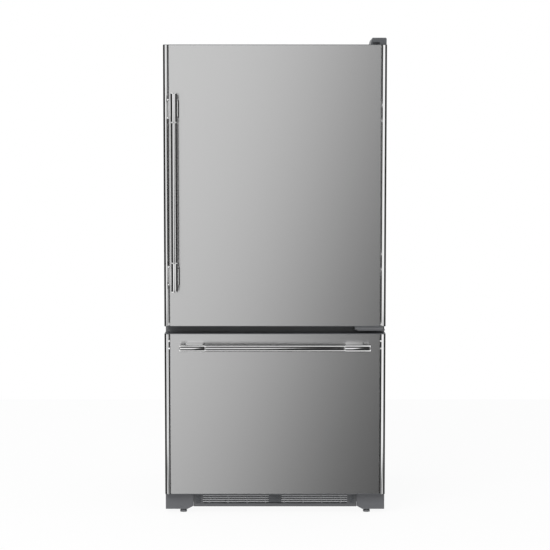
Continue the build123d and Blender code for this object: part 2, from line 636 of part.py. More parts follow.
KNOB_SHAFT_RADIUS = 3
CRISPER_WALL = 3
CRISPER_HEIGHT = 200
CRISPER_DEPTH = 400
CRISPER_BACK_PLAY = 10
CRISPER_FLOOR_PLAY = 17.5
CRISPER_SETBACK = 25
CRISPER_LIP = 10
CRISPER_LIP_START = 30
CRISPER_CORNER = 12
CRISPER_LEDGE_DROP = 11
CRISPER_LEDGE = 3
CRISPER_GRIP = 12
CRISPER_GRIP_INSET = 40
CRISPER_GRIP_HEIGHT = 22
DIVIDER_HALF = 4
CRISPER_LEG = 8
SWITCH_LENGTH = 34
SWITCH_HOUSING = (18, 40, 28)
SWITCH_BELOW_CEILING = 154
SWITCH_RADIUS = 4
SWITCH_TRAVEL = 3
DYKE_WIDTH = 20
DYKE_DEPTH = 59
DYKE_INSET = 14

CRISPER_TOP = MULLION_TOP + CRISPER_FLOOR_PLAY + CRISPER_HEIGHT
CRISPER_COVER = CRISPER_TOP + SLIDE_PLAY + SHELF_TRIM
CRISPER_BACK = ROOM_BACK - CRISPER_BACK_PLAY
CRISPER_FRONT = CRISPER_BACK - CRISPER_DEPTH
CRISPER_COVER_FRONT = CRISPER_FRONT - CRISPER_SETBACK
LOWER_SHELF = CRISPER_COVER + LOWER_SHELF_RISE
UPPER_SHELF = LOWER_SHELF + UPPER_SHELF_RISE
DUCT_BOTTOM = CRISPER_COVER + DUCT_OVER_CRISPERS
DUCT_TOP = CEILING - DUCT_BELOW_CEILING
SHELF_BACK = ROOM_BACK - DUCT_DEPTH - SEAT
SHELF_HALF = ROOM_HALF - SHELF_SIDE_GAP
Y_DYKE = Y_DOOR_BACK + DYKE_DEPTH
X_SWITCH = ROOM_HALF - DYKE_INSET - DYKE_WIDTH / 2
Z_SWITCH = CEILING - SWITCH_BELOW_CEILING

with BuildPart() as air_duct:
    block(-DUCT_WIDTH / 2, DUCT_WIDTH / 2, ROOM_BACK - DUCT_DEPTH, ROOM_BACK, DUCT_BOTTOM, DUCT_TOP)
    block(-DUCT_WIDTH / 2 + DUCT_WALL, DUCT_WIDTH / 2 - DUCT_WALL, ROOM_BACK - DUCT_DEPTH + DUCT_WALL,
          ROOM_BACK, DUCT_BOTTOM + DUCT_WALL, DUCT_TOP - DUCT_WALL, mode=Mode.SUBTRACT)
    for z in (LOWER_SHELF - 60, UPPER_SHELF - 60, DUCT_TOP - 50):
        for x in (-DUCT_OUTLET_X, DUCT_OUTLET_X):
            block(x - DUCT_OUTLET_WIDTH / 2, x + DUCT_OUTLET_WIDTH / 2, ROOM_BACK - DUCT_DEPTH,
                  ROOM_BACK - DUCT_DEPTH + DUCT_WALL, z, z + DUCT_OUTLET_HEIGHT, mode=Mode.SUBTRACT)
save("air_duct", air_duct.part)

with BuildPart() as shelf_tracks:
    for x in (-TRACK_X, TRACK_X):
        block(x - TRACK_WIDTH / 2, x + TRACK_WIDTH / 2, ROOM_BACK - TRACK_DEPTH, ROOM_BACK,
              DUCT_BOTTOM, DUCT_TOP)
        block(x - TRACK_WIDTH / 2 + TRACK_WALL, x + TRACK_WIDTH / 2 - TRACK_WALL,
              ROOM_BACK - TRACK_DEPTH + TRACK_WALL, ROOM_BACK, DUCT_BOTTOM, DUCT_TOP,
              mode=Mode.SUBTRACT)
        slots = int((DUCT_TOP - DUCT_BOTTOM) // TRACK_SLOT_PITCH)
        for slot in range(slots):
            z = DUCT_BOTTOM + TRACK_SLOT_HEIGHT + slot * TRACK_SLOT_PITCH
            block(x - TRACK_SLOT / 2, x + TRACK_SLOT / 2, ROOM_BACK - TRACK_DEPTH,
                  ROOM_BACK - TRACK_DEPTH + TRACK_WALL, z, z + TRACK_SLOT_HEIGHT, mode=Mode.SUBTRACT)
save("shelf_tracks", shelf_tracks.part)


def shelf_frame(top):
    """A shelf's moulded frame with a rebate for its glass, on two arms that reach the tracks."""
    block(-SHELF_HALF, SHELF_HALF, SHELF_FRONT, SHELF_BACK, top - SHELF_TRIM, top)
    block(-SHELF_HALF + SHELF_EDGE, SHELF_HALF - SHELF_EDGE, SHELF_FRONT + SHELF_EDGE,
          SHELF_BACK - SHELF_EDGE, top - SHELF_TRIM, top, mode=Mode.SUBTRACT)
    block(-SHELF_HALF + SHELF_REBATE, SHELF_HALF - SHELF_REBATE, SHELF_FRONT + SHELF_REBATE,
          SHELF_BACK - SHELF_REBATE, top - GLASS, top, mode=Mode.SUBTRACT)
    for x in (-TRACK_X, TRACK_X):
        low = top - SHELF_TRIM - SHELF_ARM_DROP
        with BuildSketch(Plane.YZ.offset(x - SHELF_ARM / 2)) as arm:
            with BuildLine():
                Polyline((SHELF_FRONT + SHELF_EDGE / 2, top - GLASS), (SHELF_BACK, top - GLASS),
                         (SHELF_BACK, low), (SHELF_BACK - 40, low),
                         (SHELF_FRONT + 60, top - SHELF_TRIM - 8),
                         (SHELF_FRONT + SHELF_EDGE / 2, top - SHELF_TRIM + 2), close=True)
            make_face()
        extrude(arm.sketch, amount=SHELF_ARM)
        # The hook that bears on the track
        block(x - SHELF_ARM / 2, x + SHELF_ARM / 2, SHELF_BACK, ROOM_BACK - TRACK_DEPTH,
              low + 5, low + SHELF_ARM_DROP / 2)


def crisper_cover(top):
    """The cover over the crispers, on legs along the walls and a rail between the crispers."""
    front = CRISPER_COVER_FRONT
    block(-ROOM_HALF, ROOM_HALF, front, ROOM_BACK, top - SHELF_TRIM, top)
    block(-ROOM_HALF + SHELF_EDGE, ROOM_HALF - SHELF_EDGE, front + SHELF_EDGE,
          ROOM_BACK - SHELF_EDGE, top - SHELF_TRIM, top, mode=Mode.SUBTRACT)
    block(-ROOM_HALF + SHELF_REBATE, ROOM_HALF - SHELF_REBATE, front + SHELF_REBATE,
          ROOM_BACK - SHELF_REBATE, top - GLASS, top, mode=Mode.SUBTRACT)
    block(-DIVIDER_HALF, DIVIDER_HALF, front, ROOM_BACK, MULLION_TOP, top - GLASS)


with BuildPart() as shelf_frames:
    shelf_frame(UPPER_SHELF)
    shelf_frame(LOWER_SHELF)
    crisper_cover(CRISPER_COVER)
    # Ledges along the walls and the divider that the crispers' lips run on, and two rear legs
    ledge = CRISPER_COVER - SHELF_TRIM - CRISPER_LEDGE_DROP
    for side in (-1, 1):
        for edge in (side * (ROOM_HALF - CRISPER_LIP), side * DIVIDER_HALF):
            low, high = sorted((edge, edge + side * CRISPER_LIP))
            block(low, high, CRISPER_COVER_FRONT, ROOM_BACK, ledge - CRISPER_LEDGE, ledge)
        low, high = sorted((side * ROOM_HALF, side * (ROOM_HALF - CRISPER_LIP)))
        block(low, high, ROOM_BACK - CRISPER_LEG, ROOM_BACK, MULLION_TOP, CRISPER_COVER - SHELF_TRIM)
save("shelf_frames", shelf_frames.part)

with BuildPart() as shelf_glass:
    for top in (UPPER_SHELF, LOWER_SHELF):
        block(-SHELF_HALF + SHELF_REBATE, SHELF_HALF - SHELF_REBATE, SHELF_FRONT + SHELF_REBATE,
              SHELF_BACK - SHELF_REBATE, top - GLASS, top)
    for side in (-1, 1):
        low, high = sorted((side * DIVIDER_HALF, side * (ROOM_HALF - SHELF_REBATE)))
        block(low, high, CRISPER_COVER_FRONT + SHELF_REBATE, ROOM_BACK - SHELF_REBATE,
              CRISPER_COVER - GLASS, CRISPER_COVER)
save("shelf_glass", shelf_glass.part)


def crisper(side):
    """An open-topped drawer that hangs by its side lips on the ledges of the crisper frame."""
    top = CRISPER_TOP
    ledge = CRISPER_COVER - SHELF_TRIM - CRISPER_LEDGE_DROP
    inner = DIVIDER_HALF + CRISPER_LIP + 2 * SLIDE_PLAY
    outer = ROOM_HALF - CRISPER_LIP - 2 * SLIDE_PLAY
    low, high = sorted((side * inner, side * outer))
    with BuildPart() as drawer:
        tub(low, high, CRISPER_FRONT, CRISPER_BACK, top - CRISPER_HEIGHT, top, CRISPER_WALL, CRISPER_CORNER)
        # Side lips that slide on the ledges
        for edge in (low - CRISPER_LIP, high):
            block(edge, edge + CRISPER_LIP, CRISPER_FRONT + CRISPER_LIP_START, CRISPER_BACK, ledge + SEAT, top)
        # A grip across the front, under the rim
        x0, x1, z0 = low + CRISPER_GRIP_INSET, high - CRISPER_GRIP_INSET, top - CRISPER_GRIP_HEIGHT - 4
        block(x0, x1, CRISPER_FRONT - CRISPER_GRIP, CRISPER_FRONT, z0, top - 4)
        block(x0 + CRISPER_WALL, x1 - CRISPER_WALL, CRISPER_FRONT - CRISPER_GRIP + CRISPER_WALL,
              CRISPER_FRONT, z0, top - 4 - CRISPER_WALL, mode=Mode.SUBTRACT)
    return drawer.part


save("crisper_left", crisper(-1))
save("crisper_right", crisper(1))

with BuildPart() as control_box:
    z0 = CEILING - CONTROL_HEIGHT
    block(-CONTROL_WIDTH / 2, CONTROL_WIDTH / 2, CONTROL_FRONT, CONTROL_FRONT + CONTROL_DEPTH, z0, CEILING)
    block(-CONTROL_WIDTH / 2 + CONTROL_WALL, CONTROL_WIDTH / 2 - CONTROL_WALL, CONTROL_FRONT + CONTROL_WALL,
          CONTROL_FRONT + CONTROL_DEPTH - CONTROL_WALL, z0 + CONTROL_WALL, CEILING, mode=Mode.SUBTRACT)
    # Shafts for the two knobs
    for x in (-KNOB_X, KNOB_X):
        with BuildSketch(Plane.XZ.offset(-CONTROL_FRONT)):
            with Locations((x, z0 + CONTROL_HEIGHT / 2)):
                Circle(KNOB_SHAFT_RADIUS)
        extrude(amount=KNOB_DEPTH - 4)
    # The door switch's housing on the right wall, open towards the door
    width, depth, height = SWITCH_HOUSING
    block(X_SWITCH - width / 2, ROOM_HALF, Y_DYKE + 8, Y_DYKE + 8 + depth,
          Z_SWITCH - height / 2, Z_SWITCH + height / 2)
    with BuildSketch(Plane.XZ.offset(-Y_DYKE)):
        with Locations((X_SWITCH, Z_SWITCH)):
            Circle(SWITCH_RADIUS + RUNNING_FIT)
    extrude(amount=-SWITCH_LENGTH - SWITCH_TRAVEL - 1, mode=Mode.SUBTRACT)
save("control_box", control_box.part)

with BuildPart() as light_switch:
    with BuildSketch(Plane.XZ.offset(-Y_DYKE - SEAT)):
        with Locations((X_SWITCH, Z_SWITCH)):
            Circle(SWITCH_RADIUS)
    extrude(amount=-SWITCH_LENGTH)
    fillet(light_switch.edges().group_by(Axis.Y)[0], radius=1.5)
save("light_switch", light_switch.part)

with BuildPart() as lamp_lens:
    y0 = CONTROL_FRONT + CONTROL_DEPTH
    z0 = CEILING - CONTROL_HEIGHT + LENS_RAISE
    block(-CONTROL_WIDTH / 2, CONTROL_WIDTH / 2, y0, y0 + LENS_DEPTH, z0, CEILING)
    block(-CONTROL_WIDTH / 2 + LENS_WALL, CONTROL_WIDTH / 2 - LENS_WALL, y0 + LENS_WALL,
          y0 + LENS_DEPTH - LENS_WALL, z0 + LENS_WALL, CEILING, mode=Mode.SUBTRACT)
save("lamp_lens", lamp_lens.part)


def knob(x):
    """A control knob with a pointer ridge, on its shaft at the front of the control box."""
    with BuildPart() as dial:
        plane = Plane(origin=(x, CONTROL_FRONT - SEAT, CEILING - CONTROL_HEIGHT / 2), x_dir=(1, 0, 0),
                      z_dir=(0, -1, 0))
        with BuildSketch(plane):
            Circle(KNOB_RADIUS)
        extrude(amount=KNOB_DEPTH - KNOB_RIDGE)
        fillet(dial.edges().group_by(Axis.Y)[0], radius=1.5)
        with BuildSketch(plane.offset(KNOB_DEPTH - KNOB_RIDGE)):
            Rectangle(KNOB_RIDGE, 2 * KNOB_RADIUS - 4)
        extrude(amount=KNOB_RIDGE)
        with BuildSketch(plane):
            Circle(KNOB_SHAFT_RADIUS + RUNNING_FIT)
        extrude(amount=KNOB_DEPTH - 3, mode=Mode.SUBTRACT)
    return dial.part


save("fridge_knob", knob(-KNOB_X))
save("freezer_knob", knob(KNOB_X))


# ---------------------------------------------------------------- hinges of the fridge door

HINGE_PLATE = 3
COVER_LEFT = 61
COVER_SLANT = 7
COVER_HEIGHT = 29
COVER_LENGTH = 158
COVER_WALL = 2.5
COVER_SETBACK = 12
COVER_CORNER = 5
DOOR_TOP_PLAY = 0.5
HINGE_ARM_LEFT = 34
HINGE_ARM_END = 14
HINGE_ARM_REACH = 60
SCREW_HEAD = 6
PIN_COLLAR = 4
LEAF_RISE = 13
LEAF_FLANGE = 17

with BuildPart() as top_hinge:
    low = DOOR_TOP + DOOR_TOP_PLAY
    left, right, back = X_HINGE - HINGE_ARM_LEFT, X_HINGE + HINGE_ARM_END, Y_CABINET + HINGE_ARM_REACH
    block(left, right, Y_HINGE - HINGE_ARM_END, back, low, low + HINGE_PLATE)
    block(left, right, Y_CABINET + SCREW_HEAD, back, CABINET_TOP, low)
    with BuildSketch(Plane.XY.offset(DOOR_TOP - HINGE_PIN_DEPTH)):
        with Locations((X_HINGE, Y_HINGE)):
            Circle(HINGE_PIN_RADIUS)
    extrude(amount=HINGE_PIN_DEPTH + DOOR_TOP_PLAY)
    # Two hexagon screws hold the plate to the cabinet
    with BuildSketch(Plane.XY.offset(low + HINGE_PLATE)):
        with Locations((X_HINGE - 10, Y_CABINET + 20), (X_HINGE - 10, Y_CABINET + 46)):
            RegularPolygon(SCREW_HEAD, 6)
    extrude(amount=SCREW_HEAD - 1)
save("top_hinge", top_hinge.part)

with BuildPart() as hinge_cover:
    front = Y_SKIN + COVER_SETBACK
    top = CABINET_TOP + COVER_HEIGHT
    with BuildSketch(Plane.XZ.offset(-front)):
        with BuildLine():
            Polyline((HALF - COVER_LEFT, CABINET_TOP), (HALF - SHEET, CABINET_TOP), (HALF - SHEET, top),
                     (HALF - COVER_LEFT + COVER_SLANT, top), close=True)
        make_face()
    extrude(amount=-COVER_LENGTH)
    fillet(hinge_cover.edges().group_by(Axis.Z)[-1], radius=COVER_CORNER)
    with BuildSketch(Plane.XZ.offset(-front - COVER_WALL)):
        with BuildLine():
            Polyline((HALF - COVER_LEFT + COVER_WALL, CABINET_TOP),
                     (HALF - SHEET - COVER_WALL, CABINET_TOP),
                     (HALF - SHEET - COVER_WALL, top - COVER_WALL),
                     (HALF - COVER_LEFT + COVER_SLANT + COVER_WALL, top - COVER_WALL), close=True)
        make_face()
    extrude(amount=2 * COVER_WALL - COVER_LENGTH, mode=Mode.SUBTRACT)
    # Over the door the cover's edge stays clear of the door's top
    block(HALF - COVER_LEFT - 1, HALF, front - 1, Y_CABINET, CABINET_TOP, DOOR_TOP + 3 * DOOR_TOP_PLAY,
          mode=Mode.SUBTRACT)
save("hinge_cover", hinge_cover.part)

LEAF_TOP = DRAWER_FRONT_TOP + LEAF_RISE
with BuildPart() as center_hinge:
    left = HALF - HINGE_WIDTH
    with BuildSketch(Plane.XY.offset(LEAF_TOP - HINGE_LEAF)):
        with BuildLine():
            Polyline((left, Y_CABINET), (HALF - SHEET, Y_CABINET), (HALF - SHEET, Y_HINGE - 8),
                     (HALF - SHEET - 8, Y_HINGE - 18), (left + 14, Y_HINGE - 18), close=True)
        make_face()
    extrude(amount=HINGE_LEAF)
    block(left, HALF - SHEET, Y_CABINET - HINGE_PLATE, Y_CABINET, LEAF_TOP - LEAF_FLANGE, LEAF_TOP)
    with BuildSketch(Plane.XY.offset(LEAF_TOP)):
        with Locations((X_HINGE, Y_HINGE)):
            Circle(HINGE_PIN_RADIUS + PIN_COLLAR)
    extrude(amount=DOOR_BOTTOM - LEAF_TOP - SEAT)
    with BuildSketch(Plane.XY.offset(LEAF_TOP)):
        with Locations((X_HINGE, Y_HINGE)):
            Circle(HINGE_PIN_RADIUS)
    extrude(amount=DOOR_BOTTOM - LEAF_TOP + HINGE_PIN_DEPTH)
save("center_hinge", center_hinge.part)

# ---------------------------------------------------------------- what both fronts share

TRIM_WIDTH = 22.5
TRIM_CROWN = 6
TRIM_REBATE = 9
CAP_THICKNESS = 16
CAP_LIP = 2
CAP_CORNER = 6
GASKET_WIDTH = 20
GASKET_NECK = 12
GASKET_OVERLAP = 6
HANDLE_RADIUS = 12.5
HANDLE_END_RADIUS = 13.25
HANDLE_POST_WIDTH = 34
HANDLE_POST_LENGTH = 72
HANDLE_POST_OFFSET = 57
HANDLE_POST_TAPER = 8
HANDLE_POST_CORNER = 6
HANDLE_END_EDGE = 3
HANDLE_POST_PLAY = 2.5
FREEZER_DYKE_DEPTH = 30

X_TRIM = HALF - TRIM_WIDTH
Y_REBATE = Y_SKIN + TRIM_REBATE
Y_BAR = Y_HANDLE + HANDLE_END_RADIUS


def front_outline(inset, back):
    """Half plan of a front, mirrored: flat face, a rebate for each trim, and the two sides."""
    right = [(X_TRIM - inset, Y_SKIN + inset), (X_TRIM - inset, Y_REBATE + inset),
             (HALF - inset, Y_REBATE + inset), (HALF - inset, back)]
    left = [(-x, y) for x, y in reversed(right)]
    return Polyline(*right, *left, close=True)


def front_skin(bottom, top):
    """The steel sheet: the front and both sides, bent back under the trims."""
    with BuildPart() as skin:
        with BuildSketch(Plane.XY.offset(bottom + CAP_LIP)):
            with BuildLine():
                front_outline(0, Y_DOOR_BACK)
            make_face()
            with BuildLine():
                front_outline(SHEET, Y_DOOR_BACK + SHEET)
            make_face(mode=Mode.SUBTRACT)
        extrude(amount=top - bottom - 2 * CAP_LIP)
    return skin.part


def front_trims(bottom, top):
    """A polished half-round bead in the rebate along each side of a front."""
    middle = (X_TRIM + HALF) / 2
    with BuildPart() as trims:
        with BuildSketch(Plane.XY.offset(bottom + CAP_LIP)):
            with BuildLine():
                Line((X_TRIM, Y_REBATE), (X_TRIM, Y_SKIN))
                ThreePointArc((X_TRIM, Y_SKIN), (middle, Y_SKIN - TRIM_CROWN), (HALF, Y_SKIN))
                Line((HALF, Y_SKIN), (HALF, Y_REBATE))
                Line((HALF, Y_REBATE), (X_TRIM, Y_REBATE))
            make_face()
        extrude(amount=top - bottom - 2 * CAP_LIP)
        fillet(trims.edges().filter_by(GeomType.CIRCLE), radius=TRIM_CROWN / 2)
        mirror(about=Plane.YZ)
    return trims.part


def front_caps(bottom, top, bored):
    """The moulded caps that close a front below and above, with bores where it turns on pins."""
    with BuildPart() as caps:
        for lip, plug in ((bottom, bottom), (top - CAP_LIP, top - CAP_THICKNESS)):
            block(-HALF, HALF, Y_SKIN, Y_DOOR_BACK, lip, lip + CAP_LIP)
            with BuildSketch(Plane.XY.offset(plug)):
                with BuildLine():
                    front_outline(SHEET, Y_DOOR_BACK - LINER)
                make_face()
            extrude(amount=CAP_THICKNESS)
        corners = caps.edges().filter_by(Axis.Z).filter_by(
            lambda edge: abs(abs(edge.center().X) - HALF) < 0.1 and edge.center().Y < Y_REBATE)
        fillet(corners, radius=CAP_CORNER)
        if bored:
            with Locations((X_HINGE, Y_HINGE, bottom), (X_HINGE, Y_HINGE, top)):
                Cylinder(HINGE_PIN_RADIUS + RUNNING_FIT, 2 * (HINGE_PIN_DEPTH + 1), mode=Mode.SUBTRACT)
    return caps.part


def dyke(inset, low, high, start):
    """The section of the raised rim on the back of a front, at the depth where it starts."""
    outer = ROOM_HALF - DYKE_INSET - inset
    inner = ROOM_HALF - DYKE_INSET - DYKE_WIDTH + inset
    low = low + DYKE_INSET + inset
    high = high - DYKE_INSET - inset
    width = outer - inner
    with BuildSketch(Plane.XZ.offset(-start)) as frame:
        with Locations((0, (low + high) / 2)):
            Rectangle(2 * outer, high - low)
            Rectangle(2 * inner, high - low - 2 * width, mode=Mode.SUBTRACT)
    return frame.sketch


def front_liner(bottom, top, low, high, depth):
    """The plastic inner face of a front, with a hollow rim that stands into the compartment."""
    with BuildPart() as back:
        block(-HALF + SHEET, HALF - SHEET, Y_DOOR_BACK - LINER, Y_DOOR_BACK, bottom + CAP_LIP, top - CAP_LIP)
        extrude(dyke(0, low, high, Y_DOOR_BACK), amount=-depth)
        extrude(dyke(LINER, low, high, Y_DOOR_BACK - LINER), amount=-depth, mode=Mode.SUBTRACT)
    return back.part


def front_foam(bottom, top, low, high, depth):
    """Two blocks of foam: one fills a front between its caps, the other the rim of its liner."""
    with BuildPart() as slab:
        with BuildSketch(Plane.XY.offset(bottom + CAP_THICKNESS)):
            with BuildLine():
                front_outline(SHEET, Y_DOOR_BACK - LINER)
            make_face()
        extrude(amount=top - bottom - 2 * CAP_THICKNESS)
    with BuildPart() as rim:
        extrude(dyke(LINER, low, high, Y_DOOR_BACK - LINER), amount=-depth)
    return Compound([slab.part.solid(), rim.part.solid()])


def front_gasket(low, high):
    """The magnetic seal around a compartment's mouth: a neck in the liner and a wider lip."""
    with BuildPart() as seal:
        middle = ROOM_HALF + GASKET_OVERLAP + GASKET_WIDTH / 2
        grow = GASKET_OVERLAP + GASKET_WIDTH / 2
        for width, y0, y1 in ((GASKET_NECK, Y_DOOR_BACK, Y_DOOR_BACK + GASKET_THICKNESS / 2),
                              (GASKET_WIDTH, Y_DOOR_BACK + GASKET_THICKNESS / 2, Y_CABINET - SEAT)):
            ring(middle - width / 2, low - grow + width / 2, high + grow - width / 2, width, y0, y1)
    return seal.part


def bar_plane(x, z, upright):
    """The plane square to a handle at its middle."""
    if upright:
        return Plane(origin=(x, Y_BAR, z), x_dir=(1, 0, 0), z_dir=(0, 0, 1))
    return Plane(origin=(x, Y_BAR, z), x_dir=(0, 0, 1), z_dir=(1, 0, 0))


def handle_bar(x, z, length, end, upright):
    """The straight round bar of a handle, between its two end pieces."""
    with BuildPart() as bar:
        with BuildSketch(bar_plane(x, z, upright).offset(-length / 2 + end)):
            Circle(HANDLE_RADIUS)
        extrude(amount=length - 2 * end)
    return bar.part


def handle_ends(x, z, length, end, upright):
    """The two end pieces of a handle, each with a tapered post that stands on the skin."""
    with BuildPart() as ends:
        for sign in (-1, 1):
            plane = bar_plane(x, z, upright).offset(sign * length / 2)
            with BuildSketch(plane):
                Circle(HANDLE_END_RADIUS)
            extrude(amount=-sign * end)
            outer = ends.edges().filter_by(GeomType.CIRCLE).filter_by(
                lambda edge: abs(plane.to_local_coords(edge.center()).Z) < 0.01)
            fillet(outer, radius=HANDLE_END_EDGE)
            shift = sign * (length / 2 - HANDLE_POST_OFFSET)
            size = (HANDLE_POST_WIDTH, HANDLE_POST_LENGTH)
            place = (x, z + shift) if upright else (x + shift, z)
            with BuildSketch(Plane.XZ.offset(-Y_SKIN)):
                with Locations(place):
                    RectangleRounded(*(size if upright else reversed(size)), radius=HANDLE_POST_CORNER)
            extrude(amount=Y_SKIN - Y_BAR, taper=HANDLE_POST_TAPER)
    return ends.part


# ---------------------------------------------------------------- fridge door

FRIDGE_HANDLE_LENGTH = 734
FRIDGE_HANDLE_DROP = 23.5
FRIDGE_HANDLE_END = 111
BIN_DEPTH = 124
BIN_WALL = 3
BIN_CORNER = 25
LOWER_BIN_RISE = 15
LOWER_BIN_HEIGHT = 110
UPPER_BIN_RISE = 20
UPPER_BIN_HEIGHT = 100
DAIRY_BELOW_TOP = 115
DAIRY_HEIGHT = 140
DAIRY_CHEEK = 5
LID_THICKNESS = 3
LID_PIN_RADIUS = 3
LID_HUB_RADIUS = 5
LID_GRIP = 120
LID_GRIP_DEPTH = 8

# The handle's posts stand just inside the trim, and its middle a little below the door's
FRIDGE_HANDLE_X = HANDLE_POST_WIDTH / 2 + HANDLE_POST_PLAY - X_TRIM
FRIDGE_HANDLE_Z = (DOOR_BOTTOM + DOOR_TOP) / 2 - FRIDGE_HANDLE_DROP
LOWER_BIN = CRISPER_COVER + LOWER_BIN_RISE
DAIRY_BIN = DOOR_TOP - DAIRY_BELOW_TOP - DAIRY_HEIGHT
UPPER_BIN = (LOWER_BIN + DAIRY_BIN) / 2 + UPPER_BIN_RISE
BIN_HALF = ROOM_HALF - DYKE_INSET - DYKE_WIDTH
Y_BIN = Y_DOOR_BACK + BIN_DEPTH
Y_LID = Y_BIN - LID_HUB_RADIUS - 1
Z_LID = DAIRY_BIN + DAIRY_HEIGHT - LID_HUB_RADIUS - 8

save("fridge_door_skin", front_skin(DOOR_BOTTOM, DOOR_TOP))
save("fridge_door_trims", front_trims(DOOR_BOTTOM, DOOR_TOP))
save("fridge_door_caps", front_caps(DOOR_BOTTOM, DOOR_TOP, True))
save("fridge_door_liner", front_liner(DOOR_BOTTOM, DOOR_TOP, MULLION_TOP, CEILING, DYKE_DEPTH))
save("fridge_door_foam", front_foam(DOOR_BOTTOM, DOOR_TOP, MULLION_TOP, CEILING, DYKE_DEPTH))
save("fridge_door_gasket", front_gasket(MULLION_TOP, CEILING))
save("fridge_handle_bar", handle_bar(FRIDGE_HANDLE_X, FRIDGE_HANDLE_Z, FRIDGE_HANDLE_LENGTH,
                                     FRIDGE_HANDLE_END, True))
save("fridge_handle_ends", handle_ends(FRIDGE_HANDLE_X, FRIDGE_HANDLE_Z, FRIDGE_HANDLE_LENGTH,
                                       FRIDGE_HANDLE_END, True))

with BuildPart() as door_bins:
    for bottom, height in ((LOWER_BIN, LOWER_BIN_HEIGHT), (UPPER_BIN, UPPER_BIN_HEIGHT)):
        with BuildSketch(Plane.XY.offset(bottom)) as outside:
            with Locations((0, (Y_DOOR_BACK + Y_BIN) / 2)):
                Rectangle(2 * BIN_HALF, BIN_DEPTH)
            fillet(outside.vertices().group_by(Axis.Y)[-1], radius=BIN_CORNER)
        extrude(amount=height)
        with BuildSketch(Plane.XY.offset(bottom + BIN_WALL)) as inside:
            with Locations((0, (Y_DOOR_BACK + Y_BIN) / 2)):
                Rectangle(2 * (BIN_HALF - BIN_WALL), BIN_DEPTH - 2 * BIN_WALL)
            fillet(inside.vertices().group_by(Axis.Y)[-1], radius=BIN_CORNER - BIN_WALL)
        extrude(amount=height, mode=Mode.SUBTRACT)
save("door_bins", door_bins.part)

with BuildPart() as dairy_bin:
    top = DAIRY_BIN + DAIRY_HEIGHT
    block(-BIN_HALF, BIN_HALF, Y_DOOR_BACK, Y_BIN, DAIRY_BIN, top)
    block(-BIN_HALF + DAIRY_CHEEK, BIN_HALF - DAIRY_CHEEK, Y_DOOR_BACK + BIN_WALL, Y_BIN,
          DAIRY_BIN + BIN_WALL, top - BIN_WALL, mode=Mode.SUBTRACT)
    with BuildSketch(Plane.YZ):
        with Locations((Y_LID, Z_LID)):
            Circle(LID_PIN_RADIUS + RUNNING_FIT)
    extrude(amount=BIN_HALF - 1, both=True, mode=Mode.SUBTRACT)
save("dairy_bin", dairy_bin.part)

with BuildPart() as dairy_lid:
    half = BIN_HALF - DAIRY_CHEEK - SLIDE_PLAY
    lid_bottom = DAIRY_BIN + BIN_WALL + 2 * SLIDE_PLAY
    block(-half, half, Y_LID - LID_THICKNESS / 2, Y_LID + LID_THICKNESS / 2, lid_bottom, Z_LID)
    for radius, reach in ((LID_HUB_RADIUS, half), (LID_PIN_RADIUS, BIN_HALF - 1.5)):
        with BuildSketch(Plane.YZ):
            with Locations((Y_LID, Z_LID)):
                Circle(radius)
        extrude(amount=reach, both=True)
    # A finger lip along the lower edge
    block(-LID_GRIP / 2, LID_GRIP / 2, Y_LID, Y_LID + LID_GRIP_DEPTH, lid_bottom, lid_bottom + LID_THICKNESS)
save("dairy_lid", dairy_lid.part)

# ---------------------------------------------------------------- freezer drawer

FREEZER_HANDLE_LENGTH = 710
FREEZER_HANDLE_DROP = 49.8
FREEZER_HANDLE_END = 99
RAIL_RISE = 226
RAIL_HEIGHT = 42
RAIL_LENGTH = 500
RAIL_SHEET = 3
RAIL_START = 2
RAIL_MEMBER = 8
RAIL_COVER = 2
SIDE_ARM = 8
LEDGE_WIDTH = 7
UPPER_ARM_BELOW_ROOM = 53
UPPER_ARM_HEIGHT = 14
UPRIGHT = 14
UPRIGHT_FROM_END = 140
LOWER_BASKET_RISE = 12
LOWER_BASKET_DEPTH = 354
UPPER_BASKET_HEIGHT = 120
UPPER_BASKET_DEPTH = 350
BASKET_WALL = 3
BASKET_RIM = 3
BASKET_CORNER = 14
BASKET_SLOT = 6
BASKET_SLOT_PITCH = 30
BASKET_RIM_INSET = 20
BASKET_PLAY = 2
BASKET_SETBACK = 9

FREEZER_HANDLE_Z = DRAWER_FRONT_TOP - FREEZER_HANDLE_DROP
RAIL_BOTTOM = FREEZER_FLOOR + RAIL_RISE
UPPER_ARM_TOP = MULLION_BOTTOM - UPPER_ARM_BELOW_ROOM
LOWER_BASKET_BOTTOM = FREEZER_FLOOR + LOWER_BASKET_RISE
Y_FREEZER_DYKE = Y_DOOR_BACK + FREEZER_DYKE_DEPTH
Y_RAIL = Y_FREEZER_DYKE + RAIL_START
X_MIDDLE_RAIL = ROOM_HALF - RAIL_SHEET - SLIDE_PLAY
X_INNER_RAIL = X_MIDDLE_RAIL - RAIL_SHEET - SLIDE_PLAY
X_ARM = X_INNER_RAIL - 2 * RAIL_MEMBER
X_LEDGE = X_ARM - SIDE_ARM
BASKET_HALF = X_LEDGE - LEDGE_WIDTH - BASKET_PLAY
BASKET_FRONT = Y_FREEZER_DYKE + BASKET_SETBACK

